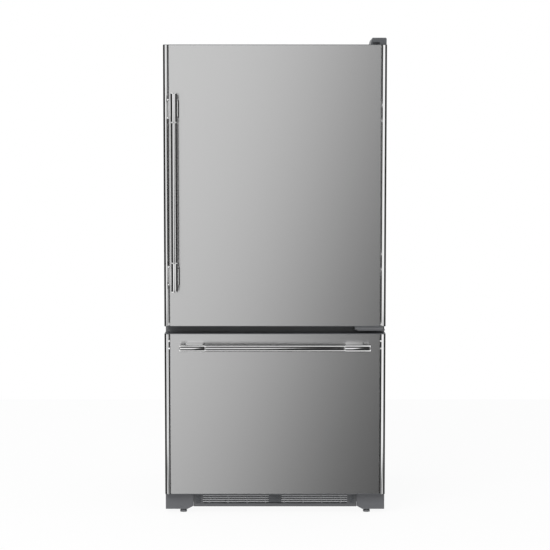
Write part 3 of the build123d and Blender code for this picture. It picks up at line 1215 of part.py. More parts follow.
save("freezer_front_skin", front_skin(DRAWER_FRONT_BOTTOM, DRAWER_FRONT_TOP))
save("freezer_front_trims", front_trims(DRAWER_FRONT_BOTTOM, DRAWER_FRONT_TOP))
save("freezer_front_caps", front_caps(DRAWER_FRONT_BOTTOM, DRAWER_FRONT_TOP, False))
save("freezer_front_liner", front_liner(DRAWER_FRONT_BOTTOM, DRAWER_FRONT_TOP, FREEZER_FLOOR,
                                        MULLION_BOTTOM, FREEZER_DYKE_DEPTH))
save("freezer_front_foam", front_foam(DRAWER_FRONT_BOTTOM, DRAWER_FRONT_TOP, FREEZER_FLOOR,
                                      MULLION_BOTTOM, FREEZER_DYKE_DEPTH))
save("freezer_front_gasket", front_gasket(FREEZER_FLOOR, MULLION_BOTTOM))
save("freezer_handle_bar", handle_bar(0, FREEZER_HANDLE_Z, FREEZER_HANDLE_LENGTH,
                                      FREEZER_HANDLE_END, False))
save("freezer_handle_ends", handle_ends(0, FREEZER_HANDLE_Z, FREEZER_HANDLE_LENGTH,
                                        FREEZER_HANDLE_END, False))


def channel(side, web, depth, bottom, height):
    """A rail of C section that opens towards the middle: an upright web and two flanges."""
    low, high = sorted((side * web, side * (web - depth)))
    block(low, high, Y_RAIL, Y_RAIL + RAIL_LENGTH, bottom, bottom + height)
    low, high = sorted((side * (web - RAIL_SHEET), side * (web - depth)))
    block(low, high, Y_RAIL, Y_RAIL + RAIL_LENGTH, bottom + RAIL_SHEET,
          bottom + height - RAIL_SHEET, mode=Mode.SUBTRACT)


MIDDLE_BOTTOM = RAIL_BOTTOM + RAIL_SHEET + SLIDE_PLAY
MIDDLE_HEIGHT = RAIL_HEIGHT - 2 * (RAIL_SHEET + SLIDE_PLAY)
INNER_BOTTOM = MIDDLE_BOTTOM + RAIL_SHEET + SLIDE_PLAY
INNER_HEIGHT = MIDDLE_HEIGHT - 2 * (RAIL_SHEET + SLIDE_PLAY)

with BuildPart() as cabinet_rails:
    for side in (-1, 1):
        channel(side, ROOM_HALF, 2 * RAIL_SHEET + RAIL_MEMBER + RAIL_COVER, RAIL_BOTTOM, RAIL_HEIGHT)
save("cabinet_rails", cabinet_rails.part)

with BuildPart() as middle_rails:
    for side in (-1, 1):
        channel(side, X_MIDDLE_RAIL, RAIL_SHEET + RAIL_MEMBER, MIDDLE_BOTTOM, MIDDLE_HEIGHT)
save("middle_rails", middle_rails.part)

with BuildPart() as drawer_frame:
    rail_end = Y_RAIL + RAIL_LENGTH
    for side in (-1, 1):
        # The sliding member, joined to the arm beside it that reaches the liner's rim
        low, high = sorted((side * X_INNER_RAIL, side * X_LEDGE))
        block(low, high, Y_RAIL, rail_end, INNER_BOTTOM, INNER_BOTTOM + INNER_HEIGHT)
        low, high = sorted((side * X_ARM, side * X_LEDGE))
        block(low, high, Y_FREEZER_DYKE, rail_end, RAIL_BOTTOM, RAIL_BOTTOM + RAIL_HEIGHT)
        # The upper arm, joined to the lower one by two uprights
        block(low, high, Y_FREEZER_DYKE, rail_end, UPPER_ARM_TOP - UPPER_ARM_HEIGHT, UPPER_ARM_TOP)
        for y in (Y_FREEZER_DYKE, rail_end - UPRIGHT_FROM_END):
            block(low, high, y, y + UPRIGHT, RAIL_BOTTOM, UPPER_ARM_TOP)
        # A ledge on the inside of the arm for the lower basket's rim
        low, high = sorted((side * X_ARM, side * (X_LEDGE - LEDGE_WIDTH)))
        block(low, high, Y_FREEZER_DYKE, Y_FREEZER_DYKE + LOWER_BASKET_DEPTH, RAIL_BOTTOM - BASKET_RIM,
              RAIL_BOTTOM)
save("drawer_frame", drawer_frame.part)


def basket(half, front, depth, bottom, rim_half, rim_top):
    """An open-topped basket with slots in its long sides and a rim that it hangs by."""
    with BuildPart() as body:
        tub(-half, half, front, front + depth, bottom, rim_top, BASKET_WALL, BASKET_CORNER)
        for side in (-1, 1):
            low, high = sorted((side * half, side * rim_half))
            block(low, high, front + BASKET_RIM_INSET, front + depth - BASKET_RIM_INSET,
                  rim_top - BASKET_RIM, rim_top)
        rows = int((rim_top - bottom - 50) // BASKET_SLOT_PITCH)
        for row in range(1, rows + 1):
            z = bottom + row * BASKET_SLOT_PITCH
            for y in (front + depth * 0.28, front + depth * 0.72):
                block(-half - 1, half + 1, y - depth * 0.16, y + depth * 0.16, z, z + BASKET_SLOT,
                      mode=Mode.SUBTRACT)
    return body.part


save("lower_basket", basket(BASKET_HALF, BASKET_FRONT, LOWER_BASKET_DEPTH, LOWER_BASKET_BOTTOM,
                            X_LEDGE - SLIDE_PLAY, RAIL_BOTTOM + BASKET_RIM))
save("upper_basket", basket(BASKET_HALF, BASKET_FRONT, UPPER_BASKET_DEPTH,
                            UPPER_ARM_TOP - UPPER_BASKET_HEIGHT, X_ARM, UPPER_ARM_TOP + SEAT + BASKET_RIM))
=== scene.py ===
import json
import math

import bmesh
import bpy
from bpy.props import FloatProperty, FloatVectorProperty, PointerProperty
from mathutils import Matrix, Vector


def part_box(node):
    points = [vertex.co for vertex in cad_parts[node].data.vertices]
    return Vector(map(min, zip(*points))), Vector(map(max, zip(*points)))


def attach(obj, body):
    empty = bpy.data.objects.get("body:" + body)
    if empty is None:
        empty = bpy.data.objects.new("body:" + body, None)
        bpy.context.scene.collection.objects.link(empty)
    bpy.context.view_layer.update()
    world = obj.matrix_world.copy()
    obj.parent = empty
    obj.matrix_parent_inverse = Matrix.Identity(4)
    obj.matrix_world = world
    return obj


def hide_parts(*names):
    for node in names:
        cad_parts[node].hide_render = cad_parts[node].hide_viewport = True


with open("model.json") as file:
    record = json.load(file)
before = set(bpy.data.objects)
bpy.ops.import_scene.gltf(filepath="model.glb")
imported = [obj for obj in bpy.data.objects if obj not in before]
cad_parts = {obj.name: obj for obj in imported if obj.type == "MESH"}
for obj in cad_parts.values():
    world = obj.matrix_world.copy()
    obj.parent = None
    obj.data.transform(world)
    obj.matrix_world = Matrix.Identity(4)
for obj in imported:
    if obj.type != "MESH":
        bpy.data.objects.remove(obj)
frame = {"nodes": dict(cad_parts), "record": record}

bl_info = {
    "name": "Bottom Freezer Refrigerator",
    "version": (1, 0, 0),
    "blender": (4, 5, 0),
    "location": "3D View > Sidebar > Refrigerator",
    "description": "Dresses the packed refrigerator with its finishes and its fine pieces",
    "category": "Object",
}

MM = 0.001
SMOOTH_ANGLE = math.radians(32)
# Points closer than this are one
TOLERANCE = 1e-6
WHITE = (1, 1, 1, 1)


# ---------------------------------------------------------------- colours, nodes and meshes

def linear(code):
    """Linear red, green and blue of an sRGB hex colour."""
    values = [int(code[i:i + 2], 16) / 255 for i in (1, 3, 5)]
    return tuple(v / 12.92 if v <= 0.04045 else ((v + 0.055) / 1.055) ** 2.4 for v in values)


def add_node(tree, kind, inputs=None, **settings):
    """Add a node with its settings; each input is a socket to link or a constant."""
    made = tree.nodes.new(kind)
    for name, value in settings.items():
        setattr(made, name, value)
    for name, value in (inputs or {}).items():
        if isinstance(value, bpy.types.NodeSocket):
            tree.links.new(value, made.inputs[name])
        else:
            made.inputs[name].default_value = value
    return made


def new_finish(name, colour, roughness, metallic=0.0, ior=1.5):
    """A material whose shader has the plain values of its finish; returns it, its tree and shader."""
    material = bpy.data.materials.new(name)
    material.use_nodes = True
    tree = material.node_tree
    shader = tree.nodes["Principled BSDF"]
    shader.inputs["Base Color"].default_value = (*colour, 1)
    shader.inputs["Roughness"].default_value = roughness
    shader.inputs["Metallic"].default_value = metallic
    shader.inputs["IOR"].default_value = ior
    return material, tree, shader


def pattern(tree, size, detail=2.0, stretch=(1, 1, 1)):
    """Noise on the piece's own coordinates: size is a feature's in metres, stretch pulls it along an axis."""
    place = add_node(tree, "ShaderNodeTexCoord")
    turned = add_node(tree, "ShaderNodeMapping", {"Vector": place.outputs["Object"], "Scale": stretch})
    noise = add_node(tree, "ShaderNodeTexNoise",
                     {"Vector": turned.outputs["Vector"], "Scale": 1 / size, "Detail": detail})
    return noise.outputs["Fac"]


def vary_colour(tree, shader, factor, light, dark):
    """Blend the base colour between two tones by a pattern."""
    mix = add_node(tree, "ShaderNodeMix", data_type="RGBA")
    colour_a, colour_b = [s for s in mix.inputs if s.type == "RGBA"]
    colour_a.default_value = (*dark, 1)
    colour_b.default_value = (*light, 1)
    tree.links.new(factor, mix.inputs["Factor"])
    result = next(s for s in mix.outputs if s.type == "RGBA")
    tree.links.new(result, shader.inputs["Base Color"])


def vary_roughness(tree, shader, factor, low, high):
    """Let the roughness follow a pattern between two values."""
    spread = add_node(tree, "ShaderNodeMapRange", {"Value": factor, "To Min": low, "To Max": high})
    tree.links.new(spread.outputs["Result"], shader.inputs["Roughness"])


def raise_surface(tree, shader, height, depth, strength):
    """Raise the surface by a pattern; depth is its real height in metres."""
    bump = add_node(tree, "ShaderNodeBump", {"Height": height, "Distance": depth, "Strength": strength})
    tree.links.new(bump.outputs["Normal"], shader.inputs["Normal"])


def tone(colour, share):
    """The same colour, lighter or darker by a share."""
    return tuple(min(1.0, channel * share) for channel in colour)


def finish_piece(mesh, name, body, slot, node=None, finish=None):
    """Make a bmesh a piece on its body, smooth except at sharp edges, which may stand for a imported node."""
    bmesh.ops.remove_doubles(mesh, verts=mesh.verts, dist=TOLERANCE)
    bmesh.ops.recalc_face_normals(mesh, faces=mesh.faces)
    for face in mesh.faces:
        face.smooth = True
    for edge in mesh.edges:
        edge.smooth = edge.calc_face_angle(0) < SMOOTH_ANGLE
    data = bpy.data.meshes.new(name)
    mesh.to_mesh(data)
    mesh.free()
    data.materials.append(finish or finish_of(slot))
    piece = bpy.data.objects.new(name, data)
    bpy.context.scene.collection.objects.link(piece)
    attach(piece, body)
    if node:
        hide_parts(node)


def round_edges(mesh, edges, width, segments=3):
    """Round edges with a bevel of circular profile."""
    bmesh.ops.bevel(mesh, geom=list(edges), offset=width, offset_type="OFFSET", segments=segments,
                    profile=0.5, affect="EDGES", clamp_overlap=True, material=-1)


def add_box(mesh, low, high, radius=0.0, segments=2):
    """Add a box between two corners, with its edges rounded where a radius is given."""
    low, high = Vector(low), Vector(high)
    size = high - low
    place = Matrix.Translation((low + high) / 2) @ Matrix.Diagonal((*size, 1))
    made = bmesh.ops.create_cube(mesh, size=1, matrix=place)["verts"]
    if radius:
        round_edges(mesh, {e for v in made for e in v.link_edges}, radius, segments)


def along(direction, place):
    """A matrix that turns +Z to a direction and moves the origin to a place."""
    turn = Vector(direction).to_track_quat("Z", "Y").to_matrix().to_4x4()
    return Matrix.Translation(place) @ turn


def add_rod(mesh, start, end, radius, edge=0.0, segments=48, end_radius=None):
    """Add a round rod from one point to another; edge rounds its two rims."""
    start, end = Vector(start), Vector(end)
    made = bmesh.ops.create_cone(
        mesh, cap_ends=True, segments=segments, radius1=radius,
        radius2=radius if end_radius is None else end_radius, depth=(end - start).length,
        matrix=along(end - start, (start + end) / 2))["verts"]
    if edge:
        caps = {f for v in made for f in v.link_faces if len(f.verts) == segments}
        round_edges(mesh, {e for f in caps for e in f.edges}, edge)


# ---------------------------------------------------------------- sizes and colours a user can change

class FridgeSizes(bpy.types.PropertyGroup):
    """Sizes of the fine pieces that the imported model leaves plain."""

    trim_crown: FloatProperty(name="Trim crown", description="How far the side trims stand before the skin",
                              default=6 * MM, unit="LENGTH")
    bar_radius: FloatProperty(name="Bar radius", description="Radius of the handles' bars",
                              default=12.5 * MM, unit="LENGTH")
    end_radius: FloatProperty(name="End radius", description="Radius of the handles' end pieces",
                              default=13.25 * MM, unit="LENGTH")
    end_edge: FloatProperty(name="End edge", description="Rounding of the handles' end pieces",
                            default=3.5 * MM, unit="LENGTH")
    groove: FloatProperty(name="Handle joint", description="Width of the groove between bar and end piece",
                          default=1.2 * MM, unit="LENGTH")
    screw_radius: FloatProperty(name="Screw radius", description="Radius of the screw heads",
                                default=4.5 * MM, unit="LENGTH")
    shelf_strip: FloatProperty(name="Shelf strip", description="Height of the strip along a shelf's front",
                               default=24 * MM, unit="LENGTH")


class FridgeFinishes(bpy.types.PropertyGroup):
    """Colours of the finishes."""

    steel: FloatVectorProperty(name="Brushed steel", description="Colour of the door skins",
                               default=linear("#cacaca"), subtype="COLOR")
    polished: FloatVectorProperty(name="Polished steel", description="Colour of trims and handle ends",
                                  default=linear("#e6e6e6"), subtype="COLOR")
    paint: FloatVectorProperty(name="Cabinet paint", description="Colour of the cabinet's textured paint",
                               default=linear("#6f7072"), subtype="COLOR")
    galvanised: FloatVectorProperty(name="Zinc coating", description="Colour of the galvanised sheet",
                                    default=linear("#b4b6b8"), subtype="COLOR")
    # Dark ABS also colours the toe grille's louvre bodies as painted shade in the slots.
    dark_plastic: FloatVectorProperty(name="Dark ABS", description="Colour of caps and hinge cover",
                                      default=linear("#55575a"), subtype="COLOR")
    grille: FloatVectorProperty(name="Grille", description="Colour of the toe grille",
                                default=linear("#626365"), subtype="COLOR")
    # The louvres' noses take this pale tone as a painted highlight along each louvre.
    louvre_nose_highlight: FloatVectorProperty(name="Louvres", description="Colour of the toe grille's louvres",
                                default=linear("#b4b5b7"), subtype="COLOR")
    hinge: FloatVectorProperty(name="Hinge paint", description="Colour of hinges and leg brackets",
                               default=linear("#68696c"), subtype="COLOR")
    white: FloatVectorProperty(name="White plastic", description="Colour of the liners and baskets",
                               default=linear("#e9eaea"), subtype="COLOR")
    seal: FloatVectorProperty(name="Seal", description="Colour of the door seals",
                              default=linear("#a9aaac"), subtype="COLOR")
    foam: FloatVectorProperty(name="Foam", description="Colour of the rigid foam",
                              default=linear("#e6d7a6"), subtype="COLOR")
    # Black enamel also colours the top hinge plate's end, painted shade for the gap under the hinge cover.
    enamel: FloatVectorProperty(name="Black enamel", description="Colour of the compressor and hinge plate",
                                default=linear("#26272a"), subtype="COLOR")
    feet: FloatVectorProperty(name="Feet", description="Colour of the levelling feet and hinge bearing",
                              default=linear("#828386"), subtype="COLOR")
    floor: FloatVectorProperty(name="Floor", description="Colour of the studio floor",
                               default=linear("#f7f7f7"), subtype="COLOR")


class FridgeStudio(bpy.types.PropertyGroup):
    """The camera and the light of the studio."""

    distance: FloatProperty(name="Camera distance", description="From the camera to the door skins",
                            default=6.0, unit="LENGTH")
    height: FloatProperty(name="Camera height", description="Camera above the floor",
                          default=1.3792, unit="LENGTH")
    tilt: FloatProperty(name="Camera tilt", description="How far the camera looks down",
                        default=math.radians(4.533), subtype="ANGLE")
    lens: FloatProperty(name="Lens", description="Focal length in millimetres on a 36 mm sensor",
                        default=105.8)
    sky: FloatProperty(name="Room light", description="Strength of the even light from all around",
                       default=0.75)
    key: FloatProperty(name="Key lamp", description="Power of the soft lamp above the front, in watts",
                       default=100.0)


# ---------------------------------------------------------------- finishes

def colours():
    """The colours that the scene holds."""
    return bpy.context.scene.fridge_finishes


# Stainless sheet, brushed from side to side: fine level lines that smear a reflection upwards.
# A real grain line is 0.1 mm wide; it is drawn 0.8 mm wide and 160 mm long, so that it shows.
def brushed_stainless():
    colour = tuple(colours().steel)
    material, tree, shader = new_finish("brushed_stainless", colour, 0.2, metallic=1.0)
    grain = pattern(tree, 0.8 * MM, stretch=(0.005, 0.005, 1))
    vary_colour(tree, shader, grain, tone(colour, 1.012), tone(colour, 0.988))
    vary_roughness(tree, shader, grain, 0.185, 0.215)
    tangent = add_node(tree, "ShaderNodeTangent", direction_type="RADIAL", axis="Z")
    tree.links.new(tangent.outputs["Tangent"], shader.inputs["Tangent"])
    shader.inputs["Anisotropic"].default_value = 0.5
    shader.inputs["Anisotropic Rotation"].default_value = 0.25
    return material


# The same steel on the handles' bars, polished finer, so that it mirrors in soft bands.
def satin_stainless():
    colour = tone(tuple(colours().steel), 1.1)
    material, tree, shader = new_finish("satin_stainless_bar", colour, 0.12, metallic=1.0)
    grain = pattern(tree, 2 * MM)
    vary_colour(tree, shader, grain, tone(colour, 1.01), tone(colour, 0.98))
    vary_roughness(tree, shader, grain, 0.11, 0.13)
    return material


# Polished stainless: a mirror with a trace of polishing haze.
def polished_stainless():
    colour = tuple(colours().polished)
    material, tree, shader = new_finish("polished_stainless", colour, 0.06, metallic=1.0)
    haze = pattern(tree, 12 * MM, detail=3)
    vary_roughness(tree, shader, haze, 0.04, 0.1)
    return material


# Coil-coated sheet with a fine leather-like texture, about 1.5 mm from bump to bump.
def textured_paint(name="textured_paint", colour=None, grain=1.5 * MM):
    colour = colour or tuple(colours().paint)
    material, tree, shader = new_finish(name, colour, 0.42, ior=1.5)
    bumps = pattern(tree, grain)
    vary_colour(tree, shader, pattern(tree, 333 * MM), tone(colour, 1.05), tone(colour, 0.95))
    vary_roughness(tree, shader, bumps, 0.36, 0.5)
    raise_surface(tree, shader, bumps, 0.12 * MM, 0.5)
    return material


# Hot-dip zinc: crystals 10 to 20 mm across that each reflect a little differently.
def zinc_coated():
    colour = tuple(colours().galvanised)
    material, tree, shader = new_finish("zinc_coated_sheet", colour, 0.38, metallic=1.0)
    place = add_node(tree, "ShaderNodeTexCoord")
    crystals = add_node(tree, "ShaderNodeTexVoronoi",
                        {"Vector": place.outputs["Object"], "Scale": 1 / (14 * MM)})
    grey = add_node(tree, "ShaderNodeSeparateColor", {"Color": crystals.outputs["Color"]})
    vary_colour(tree, shader, grey.outputs["Red"], tone(colour, 1.08), tone(colour, 0.84))
    vary_roughness(tree, shader, grey.outputs["Green"], 0.3, 0.46)
    return material


# Injection-moulded plastic: even colour, an eroded texture about 0.9 mm coarse and a soft sheen.
def moulded_plastic(name, colour, roughness=0.42):
    material, tree, shader = new_finish(name, colour, roughness, ior=1.53)
    texture = pattern(tree, 0.9 * MM)
    vary_colour(tree, shader, pattern(tree, 167 * MM), tone(colour, 1.03), tone(colour, 0.97))
    vary_roughness(tree, shader, texture, roughness - 0.05, roughness + 0.06)
    raise_surface(tree, shader, texture, 0.05 * MM, 0.4)
    return material


# Vacuum-formed polystyrene: white, softly glossy, with the slight waviness of a formed sheet.
def formed_polystyrene():
    colour = tuple(colours().white)
    material, tree, shader = new_finish("formed_polystyrene", colour, 0.32, ior=1.59)
    waves = pattern(tree, 120 * MM, detail=1)
    vary_colour(tree, shader, pattern(tree, 500 * MM, detail=1), tone(colour, 1.01), tone(colour, 0.98))
    vary_roughness(tree, shader, waves, 0.3, 0.34)
    raise_surface(tree, shader, waves, 0.05 * MM, 0.05)
    return material


# Clear styrene-acrylonitrile: a faint blue tint, soft scratches from use.
def clear_styrene():
    colour = linear("#f6fafb")
    material, tree, shader = new_finish("clear_styrene", colour, 0.06, ior=1.57)
    shader.inputs["Transmission Weight"].default_value = 0.85
    scratches = pattern(tree, 3 * MM, detail=4, stretch=(0.1, 0.1, 1))
    vary_roughness(tree, shader, scratches, 0.04, 0.14)
    return material


# Tempered float glass: the green of its iron shows through the thickness of the shelf.
def tempered_glass():
    colour = linear("#ecf6f1")
    material, tree, shader = new_finish("tempered_glass", colour, 0.02, ior=1.52)
    shader.inputs["Transmission Weight"].default_value = 0.95
    smears = pattern(tree, 40 * MM, detail=3)
    vary_roughness(tree, shader, smears, 0.01, 0.05)
    return material


# Flexible PVC: matt grey, slightly uneven from the extruder, about 2 mm from wave to wave.
def extruded_vinyl():
    colour = tuple(colours().seal)
    material, tree, shader = new_finish("extruded_vinyl_seal", colour, 0.62, ior=1.53)
    waves = pattern(tree, 2 * MM)
    vary_colour(tree, shader, pattern(tree, 125 * MM), tone(colour, 1.06), tone(colour, 0.92))
    raise_surface(tree, shader, waves, 0.05 * MM, 0.4)
    return material


# Rigid polyurethane foam: pale yellow, with cells under a millimetre drawn 3 mm wide, each painted darker
# towards its sunken middle as shade in the hollow.
def rigid_foam():
    colour = tuple(colours().foam)
    material, tree, shader = new_finish("rigid_foam", colour, 0.9, ior=1.45)
    place = add_node(tree, "ShaderNodeTexCoord")
    cells = add_node(tree, "ShaderNodeTexVoronoi",
                     {"Vector": place.outputs["Object"], "Scale": 1 / (3 * MM)})
    # Painted shade: the colour darkens with the same field that sinks each cell's middle.
    vary_colour(tree, shader, cells.outputs["Distance"], tone(colour, 1.05), tone(colour, 0.8))
    raise_surface(tree, shader, cells.outputs["Distance"], 0.5 * MM, 0.6)
    return material


# Baked enamel on a drawn steel shell: near black, glossy, with a light orange peel.
def black_enamel():
    colour = tuple(colours().enamel)
    material, tree, shader = new_finish("black_enamel", colour, 0.3, ior=1.52)
    peel = pattern(tree, 4 * MM)
    vary_colour(tree, shader, pattern(tree, 111 * MM, detail=3), tone(colour, 1.3), tone(colour, 0.8))
    vary_roughness(tree, shader, peel, 0.24, 0.38)
    raise_surface(tree, shader, peel, 0.06 * MM, 0.5)
    return material


# Drawn aluminium tube and fins, dulled by handling.
def drawn_aluminium():
    colour = linear("#aeb0b2")
    material, tree, shader = new_finish("drawn_aluminium", colour, 0.36, metallic=1.0)
    dull = pattern(tree, 15 * MM, detail=3)
    vary_colour(tree, shader, dull, tone(colour, 1.05), tone(colour, 0.8))
    vary_roughness(tree, shader, dull, 0.28, 0.5)
    return material


def make_finishes():
    """One material for each material slot of the record, made once."""
    made = bpy.data.materials
    if "brushed_stainless" in made:
        return
    values = colours()
    for slot, finish in (
            ("wrapper_paint", textured_paint()),
            ("galvanised", zinc_coated()),
            ("brushed_steel", brushed_stainless()),
            ("polished_trim", polished_stainless()),
            ("handle_satin", satin_stainless()),
            ("dark_plastic", moulded_plastic("moulded_abs_dark", tuple(values.dark_plastic))),
            ("grille_plastic", moulded_plastic("moulded_polypropylene_grey", tuple(values.grille), 0.5)),
            ("white_plastic", formed_polystyrene()),
            ("foam", rigid_foam()),
            ("clear_plastic", clear_styrene()),
            ("shelf_glass", tempered_glass()),
            ("gasket_rubber", extruded_vinyl()),
            ("hinge_steel", textured_paint("powder_coated_steel", tuple(values.hinge), 0.8 * MM)),
            ("compressor_black", black_enamel()),
            ("coil_tube", drawn_aluminium()),
            ("roller_plastic", moulded_plastic("moulded_nylon_black", linear("#2b2b2d"), 0.5)),
            ("foot_plastic", moulded_plastic("moulded_polypropylene_feet", tuple(values.feet), 0.45))):
        finish["fridge_slot"] = slot


def finish_of(slot):
    """The material made for a slot of the record."""
    return next(m for m in bpy.data.materials if m.get("fridge_slot") == slot)


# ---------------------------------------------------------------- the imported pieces' finishes

class FRIDGE_OT_packed_finishes(bpy.types.Operator):
    """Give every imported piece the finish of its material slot"""

    bl_idname = "fridge.packed_finishes"
    bl_label = "Finish packed pieces"

    def execute(self, context):
        make_finishes()
        for row in frame["record"]["subparts"]:
            node = frame["nodes"][row["node"]]
            finish = finish_of(row["material_slot"])
            if not node.material_slots:
                raise RuntimeError(f"{node.name} has no material slot")
            for place in node.material_slots:
                place.material = finish
        return {"FINISHED"}


# ---------------------------------------------------------------- trims and handles

FRONTS = (("fridge_door", "fridge_door"), ("freezer_drawer", "freezer_front"))
TRIM_WIDTH = 22.5 * MM
TRIM_RIDGE, TRIM_RISE, TRIM_ROUNDING = 7.6 * MM, 0.88 * MM, 0.4 * MM


def add_trim_bead(mesh, inner, outer, rebate, crest, bottom, top):
    """A bead with a shallow ridge and straight flanks, which stands in the rebate along a front's side."""
    middle, half = (inner + outer) / 2, abs(outer - inner) / 2
    shoulder = crest + TRIM_RISE
    foot = shoulder + half - TRIM_RIDGE / 2
    section = [mesh.verts.new((middle + x, y, bottom)) for x, y in (
        (-half, rebate), (-half, foot), (-TRIM_RIDGE / 2, shoulder), (0, crest),
        (TRIM_RIDGE / 2, shoulder), (half, foot), (half, rebate))]
    end = bmesh.ops.contextual_create(mesh, geom=section)["faces"]
    raised = bmesh.ops.extrude_face_region(mesh, geom=end)["geom"]
    raised = [v for v in raised if isinstance(v, bmesh.types.BMVert)]
    bmesh.ops.translate(mesh, verts=raised, vec=(0, 0, top - bottom))
    shown = [e for e in mesh.edges if all(v.co.y < foot - TOLERANCE for v in e.verts)]
    round_edges(mesh, shown, TRIM_ROUNDING, 3)


class FRIDGE_OT_trims(bpy.types.Operator):
    """Polished beads along both sides of the two fronts"""

    bl_idname = "fridge.trims"
    bl_label = "Trims"

    def execute(self, context):
        sizes = context.scene.fridge_sizes
        for body, front in FRONTS:
            low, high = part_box(f"{front}_trims")
            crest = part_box(f"{front}_skin")[0].y - sizes.trim_crown
            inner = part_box(f"{front}_skin")[1].x - TRIM_WIDTH
            mesh = bmesh.new()
            for side in (-1, 1):
                bead = bmesh.new()
                add_trim_bead(bead, side * inner, side * high.x, high.y, crest, low.z, high.z)
                join(mesh, bead)
            finish_piece(mesh, f"{front}_trim_beads", body, "polished_trim", f"{front}_trims")
        return {"FINISHED"}


def join(mesh, other):
    """Move one bmesh's geometry into another."""
    data = bpy.data.meshes.new("joined")
    bmesh.ops.recalc_face_normals(other, faces=other.faces)
    other.to_mesh(data)
    other.free()
    mesh.from_mesh(data)
    bpy.data.meshes.remove(data)


# Each post stands this far in from the tip of its end piece; its top is this share of its foot
POST_INSET = 57 * MM
POST_WIDTH, POST_LENGTH, POST_ROUNDING = 34 * MM, 72 * MM, 6 * MM
POST_TAPER, POST_LONG_TAPER = 0.84, 0.92
BAR_EDGE = 0.6 * MM


def add_post(mesh, centre, skin_face, bar_y, upright):
    """A tapered post from the skin up into the handle's end piece."""
    depth = skin_face - bar_y
    size, taper = (POST_WIDTH, POST_LENGTH), (POST_TAPER, POST_LONG_TAPER)
    if not upright:
        size, taper = size[::-1], taper[::-1]
    middle = Matrix.Translation((centre[0], skin_face - depth / 2, centre[1]))
    place = middle @ Matrix.Diagonal((size[0], depth, size[1], 1))
    made = bmesh.ops.create_cube(mesh, size=1, matrix=place)["verts"]
    top = [v for v in made if v.co.y < skin_face - depth / 2]
    bmesh.ops.scale(mesh, vec=(taper[0], 1, taper[1]), space=middle.inverted(), verts=top)
    corners = [e for e in {e for v in made for e in v.link_edges}
               if abs(e.verts[0].co.y - e.verts[1].co.y) > depth / 2]
    round_edges(mesh, corners, POST_ROUNDING, 4)


class FRIDGE_OT_handles(bpy.types.Operator):
    """The two bar handles: a satin bar between polished end pieces on posts"""

    bl_idname = "fridge.handles"
    bl_label = "Handles"

    def execute(self, context):
        sizes = context.scene.fridge_sizes
        for (body, front), upright in zip(FRONTS, (True, False)):
            stem = "fridge" if upright else "freezer"
            bar_low, bar_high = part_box(f"{stem}_handle_bar")
            low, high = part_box(f"{stem}_handle_ends")
            skin_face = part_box(f"{front}_skin")[0].y
            middle = (bar_low + bar_high) / 2
            axis = Vector((0, 0, 1)) if upright else Vector((1, 0, 0))
            half_bar = (bar_high - bar_low).dot(axis) / 2
            half = (high - low).dot(axis) / 2
            bar = bmesh.new()
            add_rod(bar, middle - half_bar * axis, middle + half_bar * axis, sizes.bar_radius, BAR_EDGE)
            finish_piece(bar, f"{stem}_handle_satin_bar", body, "handle_satin", f"{stem}_handle_bar")
            ends = bmesh.new()
            for side in (-1, 1):
                inner = middle + side * (half_bar + sizes.groove) * axis
                outer = middle + side * half * axis
                add_rod(ends, inner, outer, sizes.end_radius, sizes.end_edge)
                # A thin neck fills the groove at the joint
                neck = middle + side * (half_bar - sizes.groove) * axis
                add_rod(ends, neck, inner + side * sizes.end_edge * axis, sizes.bar_radius - sizes.groove)
                post = middle + side * (half - POST_INSET) * axis
                add_post(ends, (post.x, post.z), skin_face, middle.y, upright)
            finish_piece(ends, f"{stem}_handle_end_pieces", body, "polished_trim", f"{stem}_handle_ends")
        return {"FINISHED"}


# Two corners of the plate's end, from the lowest corner of the hinge's cover
PLATE_LOW, PLATE_HIGH, PLATE_ROUNDING = (8 * MM, -0.5 * MM, 4 * MM), (35 * MM, 3 * MM, 13.5 * MM), 1.5 * MM
# How far the middle hinge's pin reaches into the door, and how far the bearing's foot and top hang below it
PIN_REACH, BEARING_FOOT, BEARING_TOP = 14 * MM, 14.2 * MM, 1 * MM
# How far the bearing stands in from the leaf's ends and back, and out from its front
BEARING_LEFT, BEARING_RIGHT, BEARING_BACK = 3 * MM, 8 * MM, 6 * MM
BEARING_PROUD, BEARING_ROUNDING = 0.5 * MM, 2 * MM


class FRIDGE_OT_hinges(bpy.types.Operator):
    """The black end of the top hinge's plate, also painted shade for the gap under the hinge cover, and the
    grey bearing on the middle hinge's leaf
    """

    bl_idname = "fridge.hinges"
    bl_label = "Hinges"

    def execute(self, context):
        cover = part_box("hinge_cover")[0]
        plate = bmesh.new()
        add_box(plate, cover + Vector(PLATE_LOW), cover + Vector(PLATE_HIGH), PLATE_ROUNDING, 3)
        # The plate's end is real, and its black is painted shade for the gap under the hinge cover.
        finish_piece(plate, "hinge_plate_end_painted_shade", "cabinet", "compressor_black")
        low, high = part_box("center_hinge")
        door_foot = high.z - PIN_REACH
        bearing = bmesh.new()
        add_box(bearing, (low.x + BEARING_LEFT, low.y - BEARING_PROUD, door_foot - BEARING_FOOT),
                (high.x - BEARING_RIGHT, high.y - BEARING_BACK, door_foot - BEARING_TOP), BEARING_ROUNDING, 3)
        finish_piece(bearing, "hinge_bearing", "cabinet", "foot_plastic")
        return {"FINISHED"}


# ---------------------------------------------------------------- toe grille

# Depth of the face, thickness of its hooks, and length of the closed part at each end
GRILLE_FACE, GRILLE_WALL, GRILLE_END = 10 * MM, 3 * MM, 36 * MM
RIB_PITCH, RIB_WIDTH = 70.8 * MM, 6 * MM
# Middle of each slot, measured from the floor
SLOT_HEIGHTS = [z * MM for z in (37, 44.5, 52.3, 60)]
SLOT_OPENING, BLADE_HEIGHT = 4.6 * MM, 3.2 * MM
